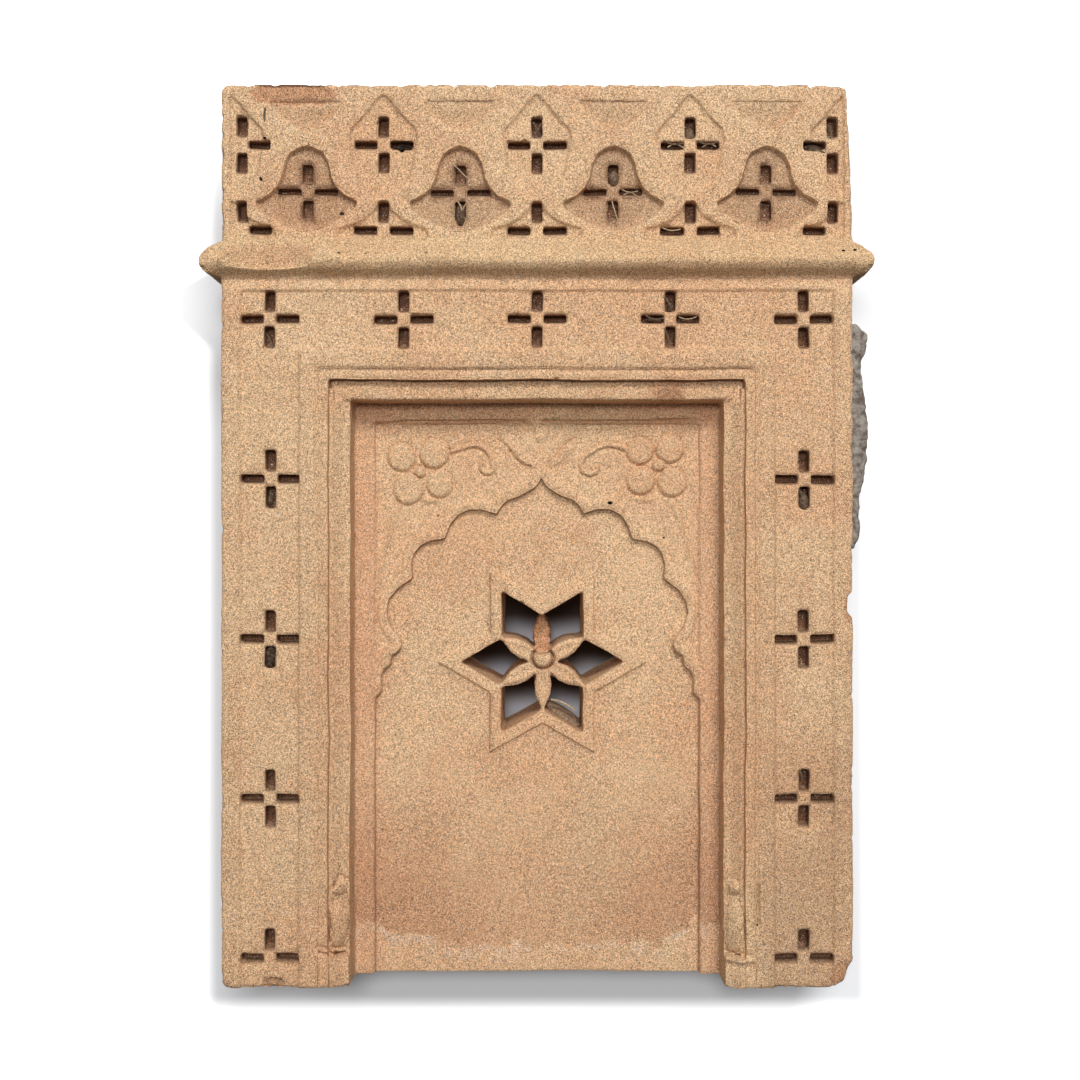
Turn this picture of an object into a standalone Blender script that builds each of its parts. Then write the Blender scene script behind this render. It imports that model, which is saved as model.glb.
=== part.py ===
"""A carved sandstone niche panel: one thick slab with a pierced star, and a strip of old mortar on one side.

Metres, +Z up. The carved front faces -Y. The origin is on the ground, at the middle of the whole panel's width
and depth. Depths are measured from the front plane of the frame towards the back.
"""

import math

import bmesh
import bpy
from mathutils import Vector
from mathutils.geometry import intersect_point_line

# The slab
HEIGHT = 0.800
BODY_WIDTH = 0.559
SLAB_DEPTH = 0.140
FOOT_CORNER = 0.008
FOOT_BREAK = 0.020
TOP_CORNER = 0.006
FRIEZE_LEAN = 0.005
EDGE_CHIP_Z = 0.339
EDGE_CHIP_HEIGHT = 0.024
EDGE_CHIP_DEPTH = 0.005

# The cornice, which wraps the front and both sides
FRIEZE_HEIGHT = 0.1375
CORNICE_HEIGHT = 0.0325
CORNICE_PROJECTION = 0.017
CORNICE_PROFILE = ((0.0, 0.0), (0.17, 0.70), (0.31, 0.97), (0.45, 1.0), (0.71, 0.60), (1.0, 0.0))

# Widths of the frame's members, from the outer edge inwards, and how deep each lies
OUTER_FILLET = 0.016
TOP_FILLET = 0.0115
SLOT_BAND = 0.053
INNER_FILLET = 0.016
HOLLOW_FILLET = 0.010
ROUND_MOULD = 0.0175
SLOT_BAND_SINK = 0.002
HOLLOW_FILLET_SINK = 0.003
ROUND_MOULD_SINK = 0.011
NICHE_DEPTH = 0.045

# The niche's carved back
NICHE_BORDER = 0.018
SPANDREL_SINK = 0.0025
ARCH_SINK = 0.006
CARVING_SHIFT = 0.004
ARCH_TOP_GAP = 0.047
ARCH_HEIGHT = 0.205
ARCH_BAND = 0.008

# Flowers and scrolls in the spandrels
FLOWER_FROM_SIDE = 0.038
FLOWER_FROM_TOP = 0.043
PETAL_RING = 0.0215
ROUND_PETAL = 0.0140
FLOWER_EYE = 0.0055
PETAL_RISE = 0.004
SCROLL_THICKNESS = 0.0028
SCROLL_STEM = ((0.029, 0.018), (0.038, 0.022), (0.047, 0.0245), (0.056, 0.0215))
SCROLL_CURL_OUT = 0.0615
SCROLL_CURL_RISE = 0.0035
SCROLL_CURL = 0.0085
CURL_STEPS = 7
STEM_THICKNESS = 0.0020
STEM = (
    (0.026, 0.073), (0.020, 0.083), (0.0165, 0.093), (0.013, 0.103), (0.009, 0.114), (0.0065, 0.127), (0.005, 0.146),
)
FINIAL_LEAF = ((0.034, 0.017), (0.0235, 0.0245), (0.0155, 0.0345), (0.0060, 0.0385))
FINIAL_BUD = 0.009

# The pierced star and the flower inside it
STAR_SHIFT = 0.005
STAR_RADIUS = 0.0765
STAR_HEIGHT = 0.285
STAR_BORDER = 0.0097
STAR_BORDER_RISE = 0.0025
STAR_TAPER = 0.94
BOSS_RADIUS = 0.0075
PETAL_WIDTH = 0.0155
PETAL_STALK = 0.0035
PETAL_SET_BACK = 0.0015
BROKEN_PETAL_SET_BACK = 0.030

# The four-slot crosses
SLOT_LENGTH = 0.0205
SLOT_WIDTH = 0.0095
SLOT_DEPTH = 0.020
CROSS_CORE = 0.0115
CROSSES_ACROSS = 5
CROSSES_DOWN = 4
LOWEST_CROSS = 0.025
EDGE_CROSS_INSET = 0.0175

# The frieze's repeat
BELLS = 4
FRIEZE_MARGIN = 0.0075
BELL_SINK = 0.005
SHIELD_SINK = 0.0025
FIELD_SINK = 0.004
TOP_LEDGE = 0.013
SHIELD_CROSS_DROP = 0.0535
BELL_CROSS_DROP = 0.0950
FOOT_CROSS_DROP = 0.1290

# Vases at the feet of the round moulding
PLINTH_HEIGHT = 0.027
VASE_HEIGHT = 0.052
VASE_RADIUS = 0.0100
KNOB_RADIUS = 0.0075

# Breaks
CORNICE_SPALL_X = -0.238
CORNICE_SPALL_REACH = 0.050
LINTEL_CHIP_X = 0.117
LINTEL_CHIP_REACH = 0.015

# The mortar left on the right side: how far below the cornice, and how far it stands out from the slab's side
MORTAR_PROFILE = (
    (0.241, 0.0040),
    (0.224, 0.0105),
    (0.211, 0.0078),
    (0.194, 0.0090),
    (0.174, 0.0145),
    (0.146, 0.0165),
    (0.120, 0.0158),
    (0.098, 0.0122),
    (0.074, 0.0098),
    (0.064, 0.0150),
    (0.050, 0.0162),
    (0.039, 0.0060),
)
MORTAR_SET_BACK = 0.010
MORTAR_DEPTH = 0.060
MORTAR_CORNER = 0.003

JOINT_GAP = 0.0003
CLEAR = 0.03
ARC_STEPS = 5

HALF_WIDTH = BODY_WIDTH / 2
BACK_Y = (SLAB_DEPTH + CORNICE_PROJECTION) / 2
FRONT_Y = BACK_Y - SLAB_DEPTH
CORNICE_TOP = HEIGHT - FRIEZE_HEIGHT
CORNICE_BOTTOM = CORNICE_TOP - CORNICE_HEIGHT
BAND_HALF = HALF_WIDTH - OUTER_FILLET
BAND_TOP = CORNICE_BOTTOM - TOP_FILLET
INNER_HALF = BAND_HALF - SLOT_BAND
INNER_TOP = BAND_TOP - SLOT_BAND
HOLLOW_HALF = INNER_HALF - INNER_FILLET
HOLLOW_TOP = INNER_TOP - INNER_FILLET
MOULD_HALF = HOLLOW_HALF - HOLLOW_FILLET
MOULD_TOP = HOLLOW_TOP - HOLLOW_FILLET
NICHE_HALF = MOULD_HALF - ROUND_MOULD
NICHE_TOP = MOULD_TOP - ROUND_MOULD
FIELD_HALF = NICHE_HALF - NICHE_BORDER
FIELD_TOP = NICHE_TOP - NICHE_BORDER
ARCH_APEX = FIELD_TOP - ARCH_TOP_GAP
SPANDREL_LEVEL = NICHE_DEPTH + SPANDREL_SINK
ARCH_LEVEL = NICHE_DEPTH + ARCH_SINK
STAR_INNER = STAR_RADIUS / math.sqrt(3)
PITCH = (BODY_WIDTH - 2 * FRIEZE_MARGIN) / BELLS

# Half outlines, as shares: of the repeat's width across, and of the frieze's height up from the cornice
BELL_OUTLINE = (
    (0.0, 0.622), (0.055, 0.605), (0.112, 0.572), (0.147, 0.500), (0.165, 0.410), (0.195, 0.350),
    (0.250, 0.295), (0.345, 0.245), (0.335, 0.205), (0.265, 0.150), (0.150, 0.092), (0.045, 0.060),
)
SHIELD_OUTLINE = (
    (0.0, 0.945), (0.052, 0.900), (0.105, 0.830), (0.165, 0.765), (0.215, 0.715), (0.225, 0.655),
    (0.208, 0.560), (0.188, 0.450), (0.150, 0.370), (0.085, 0.300), (0.0, 0.262),
)
FOOT_OUTLINE = (
    (0.0, 0.255), (0.035, 0.240), (0.065, 0.185), (0.137, 0.130), (0.220, 0.095), (0.285, 0.080),
    (0.305, 0.012), (0.0, 0.012),
)
FIELD_OUTLINE = (
    (0.0, 1.0), (0.330, 1.0), (0.275, 0.900), (0.165, 0.790), (0.060, 0.715), (0.0, 0.700),
)
# The cusped arch, as shares of its half span and its height: end of each arc, and the arc's bulge over its chord
ARCH_ARCS = (
    ((0.0, 1.0), 0.0),
    ((0.070, 0.930), -0.12),
    ((0.187, 0.892), -0.05),
    ((0.268, 0.824), 0.10),
    ((0.577, 0.714), 0.30),
    ((0.776, 0.535), 0.29),
    ((0.842, 0.262), 0.31),
    ((0.898, 0.193), -0.25),
    ((0.905, 0.150), 0.0),
    ((0.960, 0.050), 0.18),
    ((1.0, 0.0), -0.15),
)
# A pierced petal from the boss out to the star's inner corner: share of its length, share of its half width
PETAL_OUTLINE = ((0.08, 0.20), (0.24, 0.75), (0.45, 1.0), (0.65, 0.88), (0.82, 0.45))


def named_collection(name, hidden=False):
    found = bpy.data.collections.new(name)
    bpy.context.scene.collection.children.link(found)
    found.hide_render = hidden
    return found


def stone_material(name, colour, roughness):
    made = bpy.data.materials.new(name)
    made.use_nodes = True
    shader = made.node_tree.nodes["Principled BSDF"]
    shader.inputs["Base Color"].default_value = (*colour, 1.0)
    shader.inputs["Roughness"].default_value = roughness
    shader.inputs["Metallic"].default_value = 0.0
    return made


def mesh_object(name, mesh, collection):
    made = bpy.data.objects.new(name, mesh)
    collection.objects.link(made)
    if collection.hide_render:
        made.hide_render = True
        made.display_type = "WIRE"
    return made


def tidied(mesh):
    """Welds a mesh's seams and turns its faces outwards."""
    work = bmesh.new()
    work.from_mesh(mesh)
    bmesh.ops.remove_doubles(work, verts=work.verts, dist=0.000001)
    bmesh.ops.recalc_face_normals(work, faces=work.faces)
    work.to_mesh(mesh)
    work.free()


def solid_from_curve(name, curve, collection, rotation=(0, 0, 0), location=(0, 0, 0)):
    guide = bpy.data.objects.new(name + "_guide", curve)
    bpy.context.scene.collection.objects.link(guide)
    guide.rotation_euler = rotation
    guide.location = location
    bpy.context.view_layer.update()
    graph = bpy.context.evaluated_depsgraph_get()
    mesh = bpy.data.meshes.new_from_object(guide.evaluated_get(graph))
    mesh.transform(guide.matrix_world)
    bpy.data.objects.remove(guide)
    bpy.data.curves.remove(curve)
    tidied(mesh)
    return mesh_object(name, mesh, collection)


def flat_curve(name, outlines, thickness):
    curve = bpy.data.curves.new(name, "CURVE")
    curve.dimensions = "2D"
    curve.fill_mode = "BOTH"
    curve.extrude = thickness / 2
    for outline in outlines:
        spline = curve.splines.new("POLY")
        spline.points.add(len(outline) - 1)
        for point, (across, up) in zip(spline.points, outline):
            point.co = (across, up, 0.0, 1.0)
        spline.use_cyclic_u = True
    return curve


def front_prism(name, outlines, near, far, collection, taper=None):
    """Outlines seen from the front, run from one depth to another. A taper is (centre, share left at the far end)."""
    curve = flat_curve(name, outlines, far - near)
    middle = FRONT_Y + (near + far) / 2
    made = solid_from_curve(name, curve, collection, (math.pi / 2, 0, 0), (0, middle, 0))
    if taper:
        centre, share = taper
        for vertex in made.data.vertices:
            if vertex.co.y > middle:
                vertex.co.x = centre[0] + (vertex.co.x - centre[0]) * share
                vertex.co.z = centre[1] + (vertex.co.z - centre[1]) * share
    return made


def side_prism(name, outline, half_length, collection):
    """An outline of (depth, height) run along the panel's width."""
    curve = flat_curve(name, [[(FRONT_Y + depth, up) for depth, up in outline]], 2 * half_length)
    return solid_from_curve(name, curve, collection, (math.pi / 2, 0, math.pi / 2))


def tube(name, points, radius, collection, sides=1):
    """A round strip that follows points given as (across, depth, up)."""
    curve = bpy.data.curves.new(name, "CURVE")
    curve.dimensions = "3D"
    curve.bevel_depth = radius
    curve.bevel_resolution = sides
    curve.use_fill_caps = True
    spline = curve.splines.new("POLY")
    spline.points.add(len(points) - 1)
    for point, (across, depth, up) in zip(spline.points, points):
        point.co = (across, FRONT_Y + depth, up, 1.0)
    return solid_from_curve(name, curve, collection)


def ball(name, centre, radii, collection, segments=14, rings=8):
    """An ellipsoid at (across, depth, up), with radii in the same order."""
    mesh = bpy.data.meshes.new(name)
    work = bmesh.new()
    bmesh.ops.create_uvsphere(work, u_segments=segments, v_segments=rings, radius=1.0)
    bmesh.ops.rotate(work, verts=work.verts, matrix=TURN_TO_FRONT)
    bmesh.ops.scale(work, verts=work.verts, vec=radii)
    bmesh.ops.translate(work, verts=work.verts, vec=(centre[0], FRONT_Y + centre[1], centre[2]))
    work.to_mesh(mesh)
    work.free()
    return mesh_object(name, mesh, collection)


def rectangle(left, right, low, high):
    return [(left, low), (right, low), (right, high), (left, high)]


def mirrored(half):
    """A closed outline from its right half, which runs from the top centre to the bottom centre."""
    left = [(-across, up) for across, up in reversed(half) if across > 0.0]
    return list(half) + left


def arc(start, end, bulge, steps=ARC_STEPS):
    """Points after start up to end. The bulge is a share of the chord, to the left of the way from start to end."""
    chord = Vector(end) - Vector(start)
    if not bulge:
        return [tuple(end)]
    side = Vector((-chord.y, chord.x))
    points = []
    for step in range(1, steps + 1):
        share = step / steps
        height = bulge * 4 * share * (1 - share)
        points.append(tuple(Vector(start) + chord * share + side * height))
    return points


def reach_from(point, path):
    """The distance from a point to the nearest of a path's straight runs."""
    nearest = math.inf
    for start, end in zip(path, path[1:]):
        foot, share = intersect_point_line(point, start, end)
        foot = foot if 0 <= share <= 1 else Vector(start if share < 0 else end)
        nearest = min(nearest, (Vector(point) - foot.to_2d()).length)
    return nearest


def widened(path, distance):
    """An open path moved to the right of its way. Points that fall too near it, inside a cusp, are left out."""
    moved = []
    for index, point in enumerate(path):
        before = Vector(path[max(index - 1, 0)])
        after = Vector(path[min(index + 1, len(path) - 1)])
        along = (after - before).normalized()
        place = (point[0] + along.y * distance, point[1] - along.x * distance)
        if reach_from(place, path) > distance * 0.93:
            moved.append(place)
    return moved


def silhouette():
    """The slab seen from the front, with its worn corners and the ends of the cornice."""
    right = [
        (HALF_WIDTH - FOOT_BREAK, 0.0),
        (HALF_WIDTH - FOOT_BREAK * 0.40, FOOT_BREAK * 0.35),
        (HALF_WIDTH - FOOT_BREAK * 0.10, FOOT_BREAK * 1.10),
        (HALF_WIDTH, FOOT_BREAK * 1.25),
        (HALF_WIDTH, EDGE_CHIP_Z - EDGE_CHIP_HEIGHT / 2),
        (HALF_WIDTH - EDGE_CHIP_DEPTH, EDGE_CHIP_Z - EDGE_CHIP_HEIGHT / 4),
        (HALF_WIDTH - EDGE_CHIP_DEPTH * 0.8, EDGE_CHIP_Z + EDGE_CHIP_HEIGHT / 3),
        (HALF_WIDTH, EDGE_CHIP_Z + EDGE_CHIP_HEIGHT / 2),
    ]
    cornice = [
        (HALF_WIDTH + out * CORNICE_PROJECTION, CORNICE_BOTTOM + up * CORNICE_HEIGHT)
        for up, out in CORNICE_PROFILE
    ]
    top_right = arc(
        (HALF_WIDTH - FRIEZE_LEAN, HEIGHT - TOP_CORNER),
        (HALF_WIDTH - FRIEZE_LEAN - TOP_CORNER, HEIGHT),
        -0.2,
        3,
    )
    top_left = arc((-HALF_WIDTH + TOP_CORNER, HEIGHT), (-HALF_WIDTH, HEIGHT - TOP_CORNER * 1.6), -0.2, 3)
    foot_left = arc((-HALF_WIDTH, FOOT_CORNER), (-HALF_WIDTH + FOOT_CORNER, 0.0), -0.2, 3)
    return (
        right
        + cornice
        + [(HALF_WIDTH - FRIEZE_LEAN, HEIGHT - TOP_CORNER)]
        + top_right
        + [(-HALF_WIDTH + TOP_CORNER, HEIGHT)]
        + top_left
        + [(-across, up) for across, up in reversed(cornice)]
        + [(-HALF_WIDTH, FOOT_CORNER)]
        + foot_left
    )


def side_section():
    """The slab seen from the side: flat back, flat front and the cornice standing out of it."""
    cornice = [
        (-out * CORNICE_PROJECTION, CORNICE_BOTTOM + up * CORNICE_HEIGHT) for up, out in CORNICE_PROFILE
    ]
    return [(SLAB_DEPTH, 0.0), (SLAB_DEPTH, HEIGHT), (0.0, HEIGHT)] + cornice[::-1] + [(0.0, 0.0)]


def arch_edge():
    """The cusped arch's inner edge, from its foot on the right over the apex to its foot on the left."""
    place = [
        (share * FIELD_HALF, ARCH_APEX - ARCH_HEIGHT + up * ARCH_HEIGHT) for (share, up), _ in ARCH_ARCS
    ]
    half = [place[0]]
    for index in range(1, len(place)):
        half += arc(place[index - 1], place[index], ARCH_ARCS[index][1])
    half = [(min(across, FIELD_HALF), up) for across, up in half]
    return half[::-1] + [(-across, up) for across, up in half[1:]]


def shifted(path):
    """The niche's carving sits a little to the right, and its feet stay on the field's edges."""
    return [
        (across + CARVING_SHIFT * (1 - min(abs(across) / FIELD_HALF, 1.0)), up) for across, up in path
    ]


def cut_frame(cuts):
    """The frame's steps and the niche. All of them run out through the base."""
    low = -CLEAR
    band = rectangle(-BAND_HALF, BAND_HALF, low, BAND_TOP)
    inner = rectangle(-INNER_HALF, INNER_HALF, low - CLEAR, INNER_TOP)
    outline = [band[3], band[0], (-INNER_HALF, low), inner[3], inner[2], (INNER_HALF, low), band[1], band[2]]
    front_prism("slot_band", [outline], -CLEAR, SLOT_BAND_SINK, cuts)
    steps = (
        ("hollow_fillet", HOLLOW_HALF, HOLLOW_TOP, HOLLOW_FILLET_SINK),
        ("round_mould", MOULD_HALF, MOULD_TOP, ROUND_MOULD_SINK),
        ("niche", NICHE_HALF, NICHE_TOP, NICHE_DEPTH),
    )
    for name, half, top, depth in steps:
        front_prism(name, [rectangle(-half, half, low, top)], -CLEAR, depth, cuts)


def cut_niche_back(cuts):
    """The spandrels' sunk field, the raised band that is left along the arch, and the deeper arch."""
    edge = shifted(arch_edge())
    outer = [point for point in widened(edge, ARCH_BAND) if abs(point[0]) < FIELD_HALF - JOINT_GAP]
    spandrel = [(FIELD_HALF, outer[0][1])] + outer + [(-FIELD_HALF, outer[-1][1])]
    spandrel += [(-FIELD_HALF, FIELD_TOP), (FIELD_HALF, FIELD_TOP)]
    front_prism("spandrels", [spandrel], 0.0, SPANDREL_LEVEL, cuts)
    opening = edge + [(-FIELD_HALF, -CLEAR), (FIELD_HALF, -CLEAR)]
    front_prism("arch_opening", [opening], 0.0, ARCH_LEVEL, cuts)


def star_outline(radius, inner):
    """A six-pointed star with one point to each side."""
    points = []
    for corner in range(12):
        angle = math.radians(30 * corner)
        reach = inner if corner % 2 else radius
        points.append((STAR_SHIFT + reach * math.cos(angle), STAR_HEIGHT + reach * math.sin(angle)))
    return points


def add_star_border(reliefs):
    outer = STAR_RADIUS + 2 * STAR_BORDER
    near = ARCH_LEVEL - STAR_BORDER_RISE
    far = ARCH_LEVEL + STAR_BORDER
    front_prism("star_border", [star_outline(outer, outer / math.sqrt(3))], near, far, reliefs)


def cut_star(cuts):
    centre = (STAR_SHIFT, STAR_HEIGHT)
    outline = star_outline(STAR_RADIUS, STAR_INNER)
    front_prism("star_opening", [outline], NICHE_DEPTH / 2, SLAB_DEPTH + CLEAR, cuts, (centre, STAR_TAPER))


def add_star_flower(petals):
    """Six petals from a round boss to the star's inner corners. The top one has lost its front."""
    near = ARCH_LEVEL - STAR_BORDER_RISE + PETAL_SET_BACK
    far = SLAB_DEPTH - PETAL_SET_BACK
    length = STAR_INNER + STAR_BORDER / 4
    for petal in range(6):
        angle = math.radians(90 + 60 * petal)
        along = Vector((math.cos(angle), math.sin(angle)))
        side = Vector((-along.y, along.x))
        centre = Vector((STAR_SHIFT, STAR_HEIGHT))
        half = [(share * length, width * PETAL_WIDTH / 2) for share, width in PETAL_OUTLINE]
        half += [(length * 0.90, PETAL_STALK / 2), (length, PETAL_STALK / 2)]
        edge = [centre + along * reach + side * width for reach, width in half]
        edge += [centre + along * reach - side * width for reach, width in reversed(half)]
        start = near + BROKEN_PETAL_SET_BACK if petal == 0 else near
        front_prism(f"pierced_petal_{petal + 1}", [[tuple(point) for point in edge]], start, far, petals)
    ring = [
        (
            STAR_SHIFT + BOSS_RADIUS * math.cos(math.tau * step / 12),
            STAR_HEIGHT + BOSS_RADIUS * math.sin(math.tau * step / 12),
        )
        for step in range(12)
    ]
    front_prism("boss", [ring], near - PETAL_SET_BACK / 2, far - PETAL_SET_BACK / 2, petals)


def add_spandrel_carving(reliefs):
    """A four-petalled flower, scroll and stem in each spandrel, leaf lines over the apex and a bud between them."""
    level = SPANDREL_LEVEL + JOINT_GAP
    up = FIELD_TOP - FLOWER_FROM_TOP
    for name, side in (("right", 1), ("left", -1)):
        across = side * (FIELD_HALF - FLOWER_FROM_SIDE)
        for petal in range(4):
            angle = math.radians(45 + 90 * petal + side * 6)
            centre = (across + PETAL_RING * math.cos(angle), level, up + PETAL_RING * math.sin(angle))
            ball(f"{name}_petal_{petal + 1}", centre, (ROUND_PETAL, PETAL_RISE, ROUND_PETAL), reliefs)
        ball(f"{name}_eye", (across, level, up), (FLOWER_EYE, PETAL_RISE, FLOWER_EYE), reliefs, 10, 6)
        scroll = [(across - side * out, level, up + rise) for out, rise in SCROLL_STEM]
        curl = (across - side * SCROLL_CURL_OUT, up + SCROLL_CURL_RISE)
        for step in range(CURL_STEPS + 1):
            angle = math.radians(80 - 280 * step / CURL_STEPS)
            reach = SCROLL_CURL * (1 - 0.4 * step / CURL_STEPS)
            place = (curl[0] - side * reach * math.cos(angle), level, curl[1] + reach * math.sin(angle))
            scroll.append(place)
        tube(f"{name}_scroll", scroll, SCROLL_THICKNESS, reliefs)
        leaf = [(side * out + CARVING_SHIFT, level, FIELD_TOP - drop) for out, drop in FINIAL_LEAF]
        tube(f"{name}_leaf_line", leaf, SCROLL_THICKNESS, reliefs)
        stem = [(side * (FIELD_HALF - inset), level, FIELD_TOP - drop) for inset, drop in STEM]
        tube(f"{name}_stem", stem, STEM_THICKNESS, reliefs)
    bud = (CARVING_SHIFT, level, FIELD_TOP - FINIAL_BUD * 0.6)
    ball("finial_bud", bud, (FINIAL_BUD * 0.75, PETAL_RISE, FINIAL_BUD * 1.5), reliefs, 10, 8)


def add_vases(reliefs):
    """A plain block, a vase and a knob at each foot of the round moulding."""
    middle = (NICHE_HALF + MOULD_HALF) / 2
    level = ROUND_MOULD_SINK + JOINT_GAP
    for name, side in (("right", 1), ("left", -1)):
        block = sorted((side * (NICHE_HALF + JOINT_GAP), side * (HOLLOW_HALF + JOINT_GAP)))
        front_prism(
            f"{name}_plinth",
            [rectangle(*block, 0.0, PLINTH_HEIGHT)],
            HOLLOW_FILLET_SINK,
            NICHE_DEPTH,
            reliefs,
        )
        body = (side * middle, level, PLINTH_HEIGHT + VASE_HEIGHT / 2)
        ball(f"{name}_vase", body, (VASE_RADIUS, VASE_RADIUS * 0.7, VASE_HEIGHT / 2), reliefs, 12, 8)
        knob = (side * middle, level, PLINTH_HEIGHT + VASE_HEIGHT + KNOB_RADIUS)
        ball(f"{name}_knob", knob, (KNOB_RADIUS, KNOB_RADIUS * 0.7, KNOB_RADIUS), reliefs, 12, 8)


def cross_slots(across, up, arms="urdl"):
    """The slots of one cross: up, right, down and left arms around a square core."""
    near = CROSS_CORE / 2
    far = near + SLOT_LENGTH
    half = SLOT_WIDTH / 2
    shapes = {
        "u": (-half, half, near, far),
        "r": (near, far, -half, half),
        "d": (-half, half, -far, -near),
        "l": (-far, -near, -half, half),
    }
    slots = []
    for arm in arms:
        left, right, low, high = shapes[arm]
        slots.append(rectangle(across + left, across + right, up + low, up + high))
    return slots


def frame_crosses():
    slots = []
    row = BAND_TOP - SLOT_BAND / 2
    column = BAND_HALF - SLOT_BAND / 2
    for index in range(CROSSES_ACROSS):
        slots += cross_slots(-column + 2 * column * index / (CROSSES_ACROSS - 1), row)
    drop = (row - LOWEST_CROSS) / CROSSES_DOWN
    for index in range(1, CROSSES_DOWN + 1):
        arms = "url" if index == CROSSES_DOWN else "urdl"
        for side in (-1, 1):
            slots += cross_slots(side * column, row - drop * index, arms)
    return slots


def frieze_crosses():
    slots = []
    edge = HALF_WIDTH - EDGE_CROSS_INSET
    rows = (
        (HEIGHT - SHIELD_CROSS_DROP, "urdl", "urd", "uld"),
        (HEIGHT - FOOT_CROSS_DROP, "url", "ur", "ul"),
    )
    for up, whole, left, right in rows:
        for index in range(1, BELLS):
            slots += cross_slots((index - BELLS / 2) * PITCH, up, whole)
        slots += cross_slots(-edge, up, left) + cross_slots(edge, up, right)
    for index in range(BELLS):
        slots += cross_slots((index + 0.5 - BELLS / 2) * PITCH, HEIGHT - BELL_CROSS_DROP)
    return slots


def frieze_outline(half, across, top=FRIEZE_HEIGHT):
    """A repeat's outline at its place. The parts past the slab's edges are cut off a little inside them."""
    limit = HALF_WIDTH - FRIEZE_MARGIN
    points = []
    for share, up in mirrored(half):
        place = min(max(across + share * PITCH, -limit), limit)
        points.append((place, CORNICE_TOP + min(up * FRIEZE_HEIGHT, top)))
    return points


def cut_frieze(cuts):
    """Bells with their bowls, the shields between them, the fields above and the fields at the foot."""
    bells = [(index + 0.5 - BELLS / 2) * PITCH for index in range(BELLS)]
    shields = [(index - BELLS / 2) * PITCH for index in range(BELLS + 1)]
    for index, across in enumerate(bells):
        outline = frieze_outline(BELL_OUTLINE, across)
        centre = (across, CORNICE_TOP + FRIEZE_HEIGHT * 0.3)
        front_prism(f"bell_{index + 1}", [outline], -BELL_SINK, BELL_SINK, cuts, (centre, 0.93))
        outline = frieze_outline(FIELD_OUTLINE, across, FRIEZE_HEIGHT - TOP_LEDGE)
        centre = (across, CORNICE_TOP + FRIEZE_HEIGHT * 0.82)
        front_prism(f"field_{index + 1}", [outline], -FIELD_SINK, FIELD_SINK, cuts, (centre, 0.88))
    for index, across in enumerate(shields):
        outline = frieze_outline(SHIELD_OUTLINE, across)
        front_prism(f"shield_{index + 1}", [outline], -SHIELD_SINK, SHIELD_SINK, cuts)
        outline = frieze_outline(FOOT_OUTLINE, across)
        front_prism(f"foot_{index + 1}", [outline], -SHIELD_SINK, SHIELD_SINK, cuts)


def cut_breaks(cuts):
    """The cornice's spalled left nose and the chip in the lintel's edge."""
    middle = CORNICE_BOTTOM + CORNICE_HEIGHT * 0.62
    reach = CORNICE_SPALL_REACH
    spall = (CORNICE_SPALL_X, -CORNICE_PROJECTION - reach * 0.36, middle)
    ball("cornice_spall", spall, (reach, reach * 0.55, CORNICE_HEIGHT * 0.85), cuts, 20, 12)
    reach = LINTEL_CHIP_REACH
    ball("lintel_chip", (LINTEL_CHIP_X, HOLLOW_FILLET_SINK, NICHE_TOP), (reach, reach, reach * 0.8), cuts, 12, 8)


def make_panel(panel, helpers):
    """The slab: outline and section give the block, then cuts, reliefs, piercings and petals follow in turn."""
    slab = front_prism("stone_panel", [silhouette()], -CLEAR, SLAB_DEPTH + CLEAR, panel)
    section = side_prism("section", side_section(), HALF_WIDTH + CLEAR, helpers)
    groups = {}
    for name in ("frame_cuts", "reliefs", "piercings", "petals"):
        groups[name] = bpy.data.collections.new(name)
        helpers.children.link(groups[name])
        groups[name].hide_render = True
    cut_frame(groups["frame_cuts"])
    cut_niche_back(groups["frame_cuts"])
    add_star_border(groups["reliefs"])
    add_spandrel_carving(groups["reliefs"])
    add_vases(groups["reliefs"])
    cut_star(groups["piercings"])
    cut_frieze(groups["piercings"])
    cut_breaks(groups["piercings"])
    front_prism("slots", frame_crosses() + frieze_crosses(), -CLEAR, SLOT_DEPTH, groups["piercings"])
    add_star_flower(groups["petals"])
    block = slab.modifiers.new("section", "BOOLEAN")
    block.operation = "INTERSECT"
    block.solver = "EXACT"
    block.object = section
    order = (
        ("frame_cuts", "DIFFERENCE"),
        ("reliefs", "UNION"),
        ("piercings", "DIFFERENCE"),
        ("petals", "UNION"),
    )
    for name, operation in order:
        step = slab.modifiers.new(name, "BOOLEAN")
        step.operation = operation
        step.solver = "EXACT"
        step.operand_type = "COLLECTION"
        step.collection = groups[name]
    return slab


def make_mortar(panel):
    """The strip of mortar on the right side, set back from the front edge."""
    inner = HALF_WIDTH + JOINT_GAP
    outline = [(HALF_WIDTH + out, CORNICE_BOTTOM - drop) for drop, out in MORTAR_PROFILE]
    outline = [(inner, outline[0][1]), *outline, (inner, outline[-1][1])]
    mortar = front_prism(
        "mortar_remnant", [outline], MORTAR_SET_BACK, MORTAR_SET_BACK + MORTAR_DEPTH, panel
    )
    for vertex in mortar.data.vertices:
        if vertex.co.x > inner + MORTAR_CORNER:
            vertex.co.y += MORTAR_CORNER if vertex.co.y < FRONT_Y + MORTAR_SET_BACK + MORTAR_CORNER else 0.0
    return mortar


def main():
    for old in list(bpy.data.objects):
        bpy.data.objects.remove(old)
    panel = named_collection("sandstone_niche_panel")
    helpers = named_collection("cutters", hidden=True)
    slab = make_panel(panel, helpers)
    slab.data.materials.append(stone_material("sandstone", (0.56, 0.36, 0.20), 0.92))
    mortar = make_mortar(panel)
    mortar.data.materials.append(stone_material("old_mortar", (0.30, 0.26, 0.21), 0.95))


TURN_TO_FRONT = Vector((0, 1, 0)).rotation_difference(Vector((0, 0, 1))).to_matrix()

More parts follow.
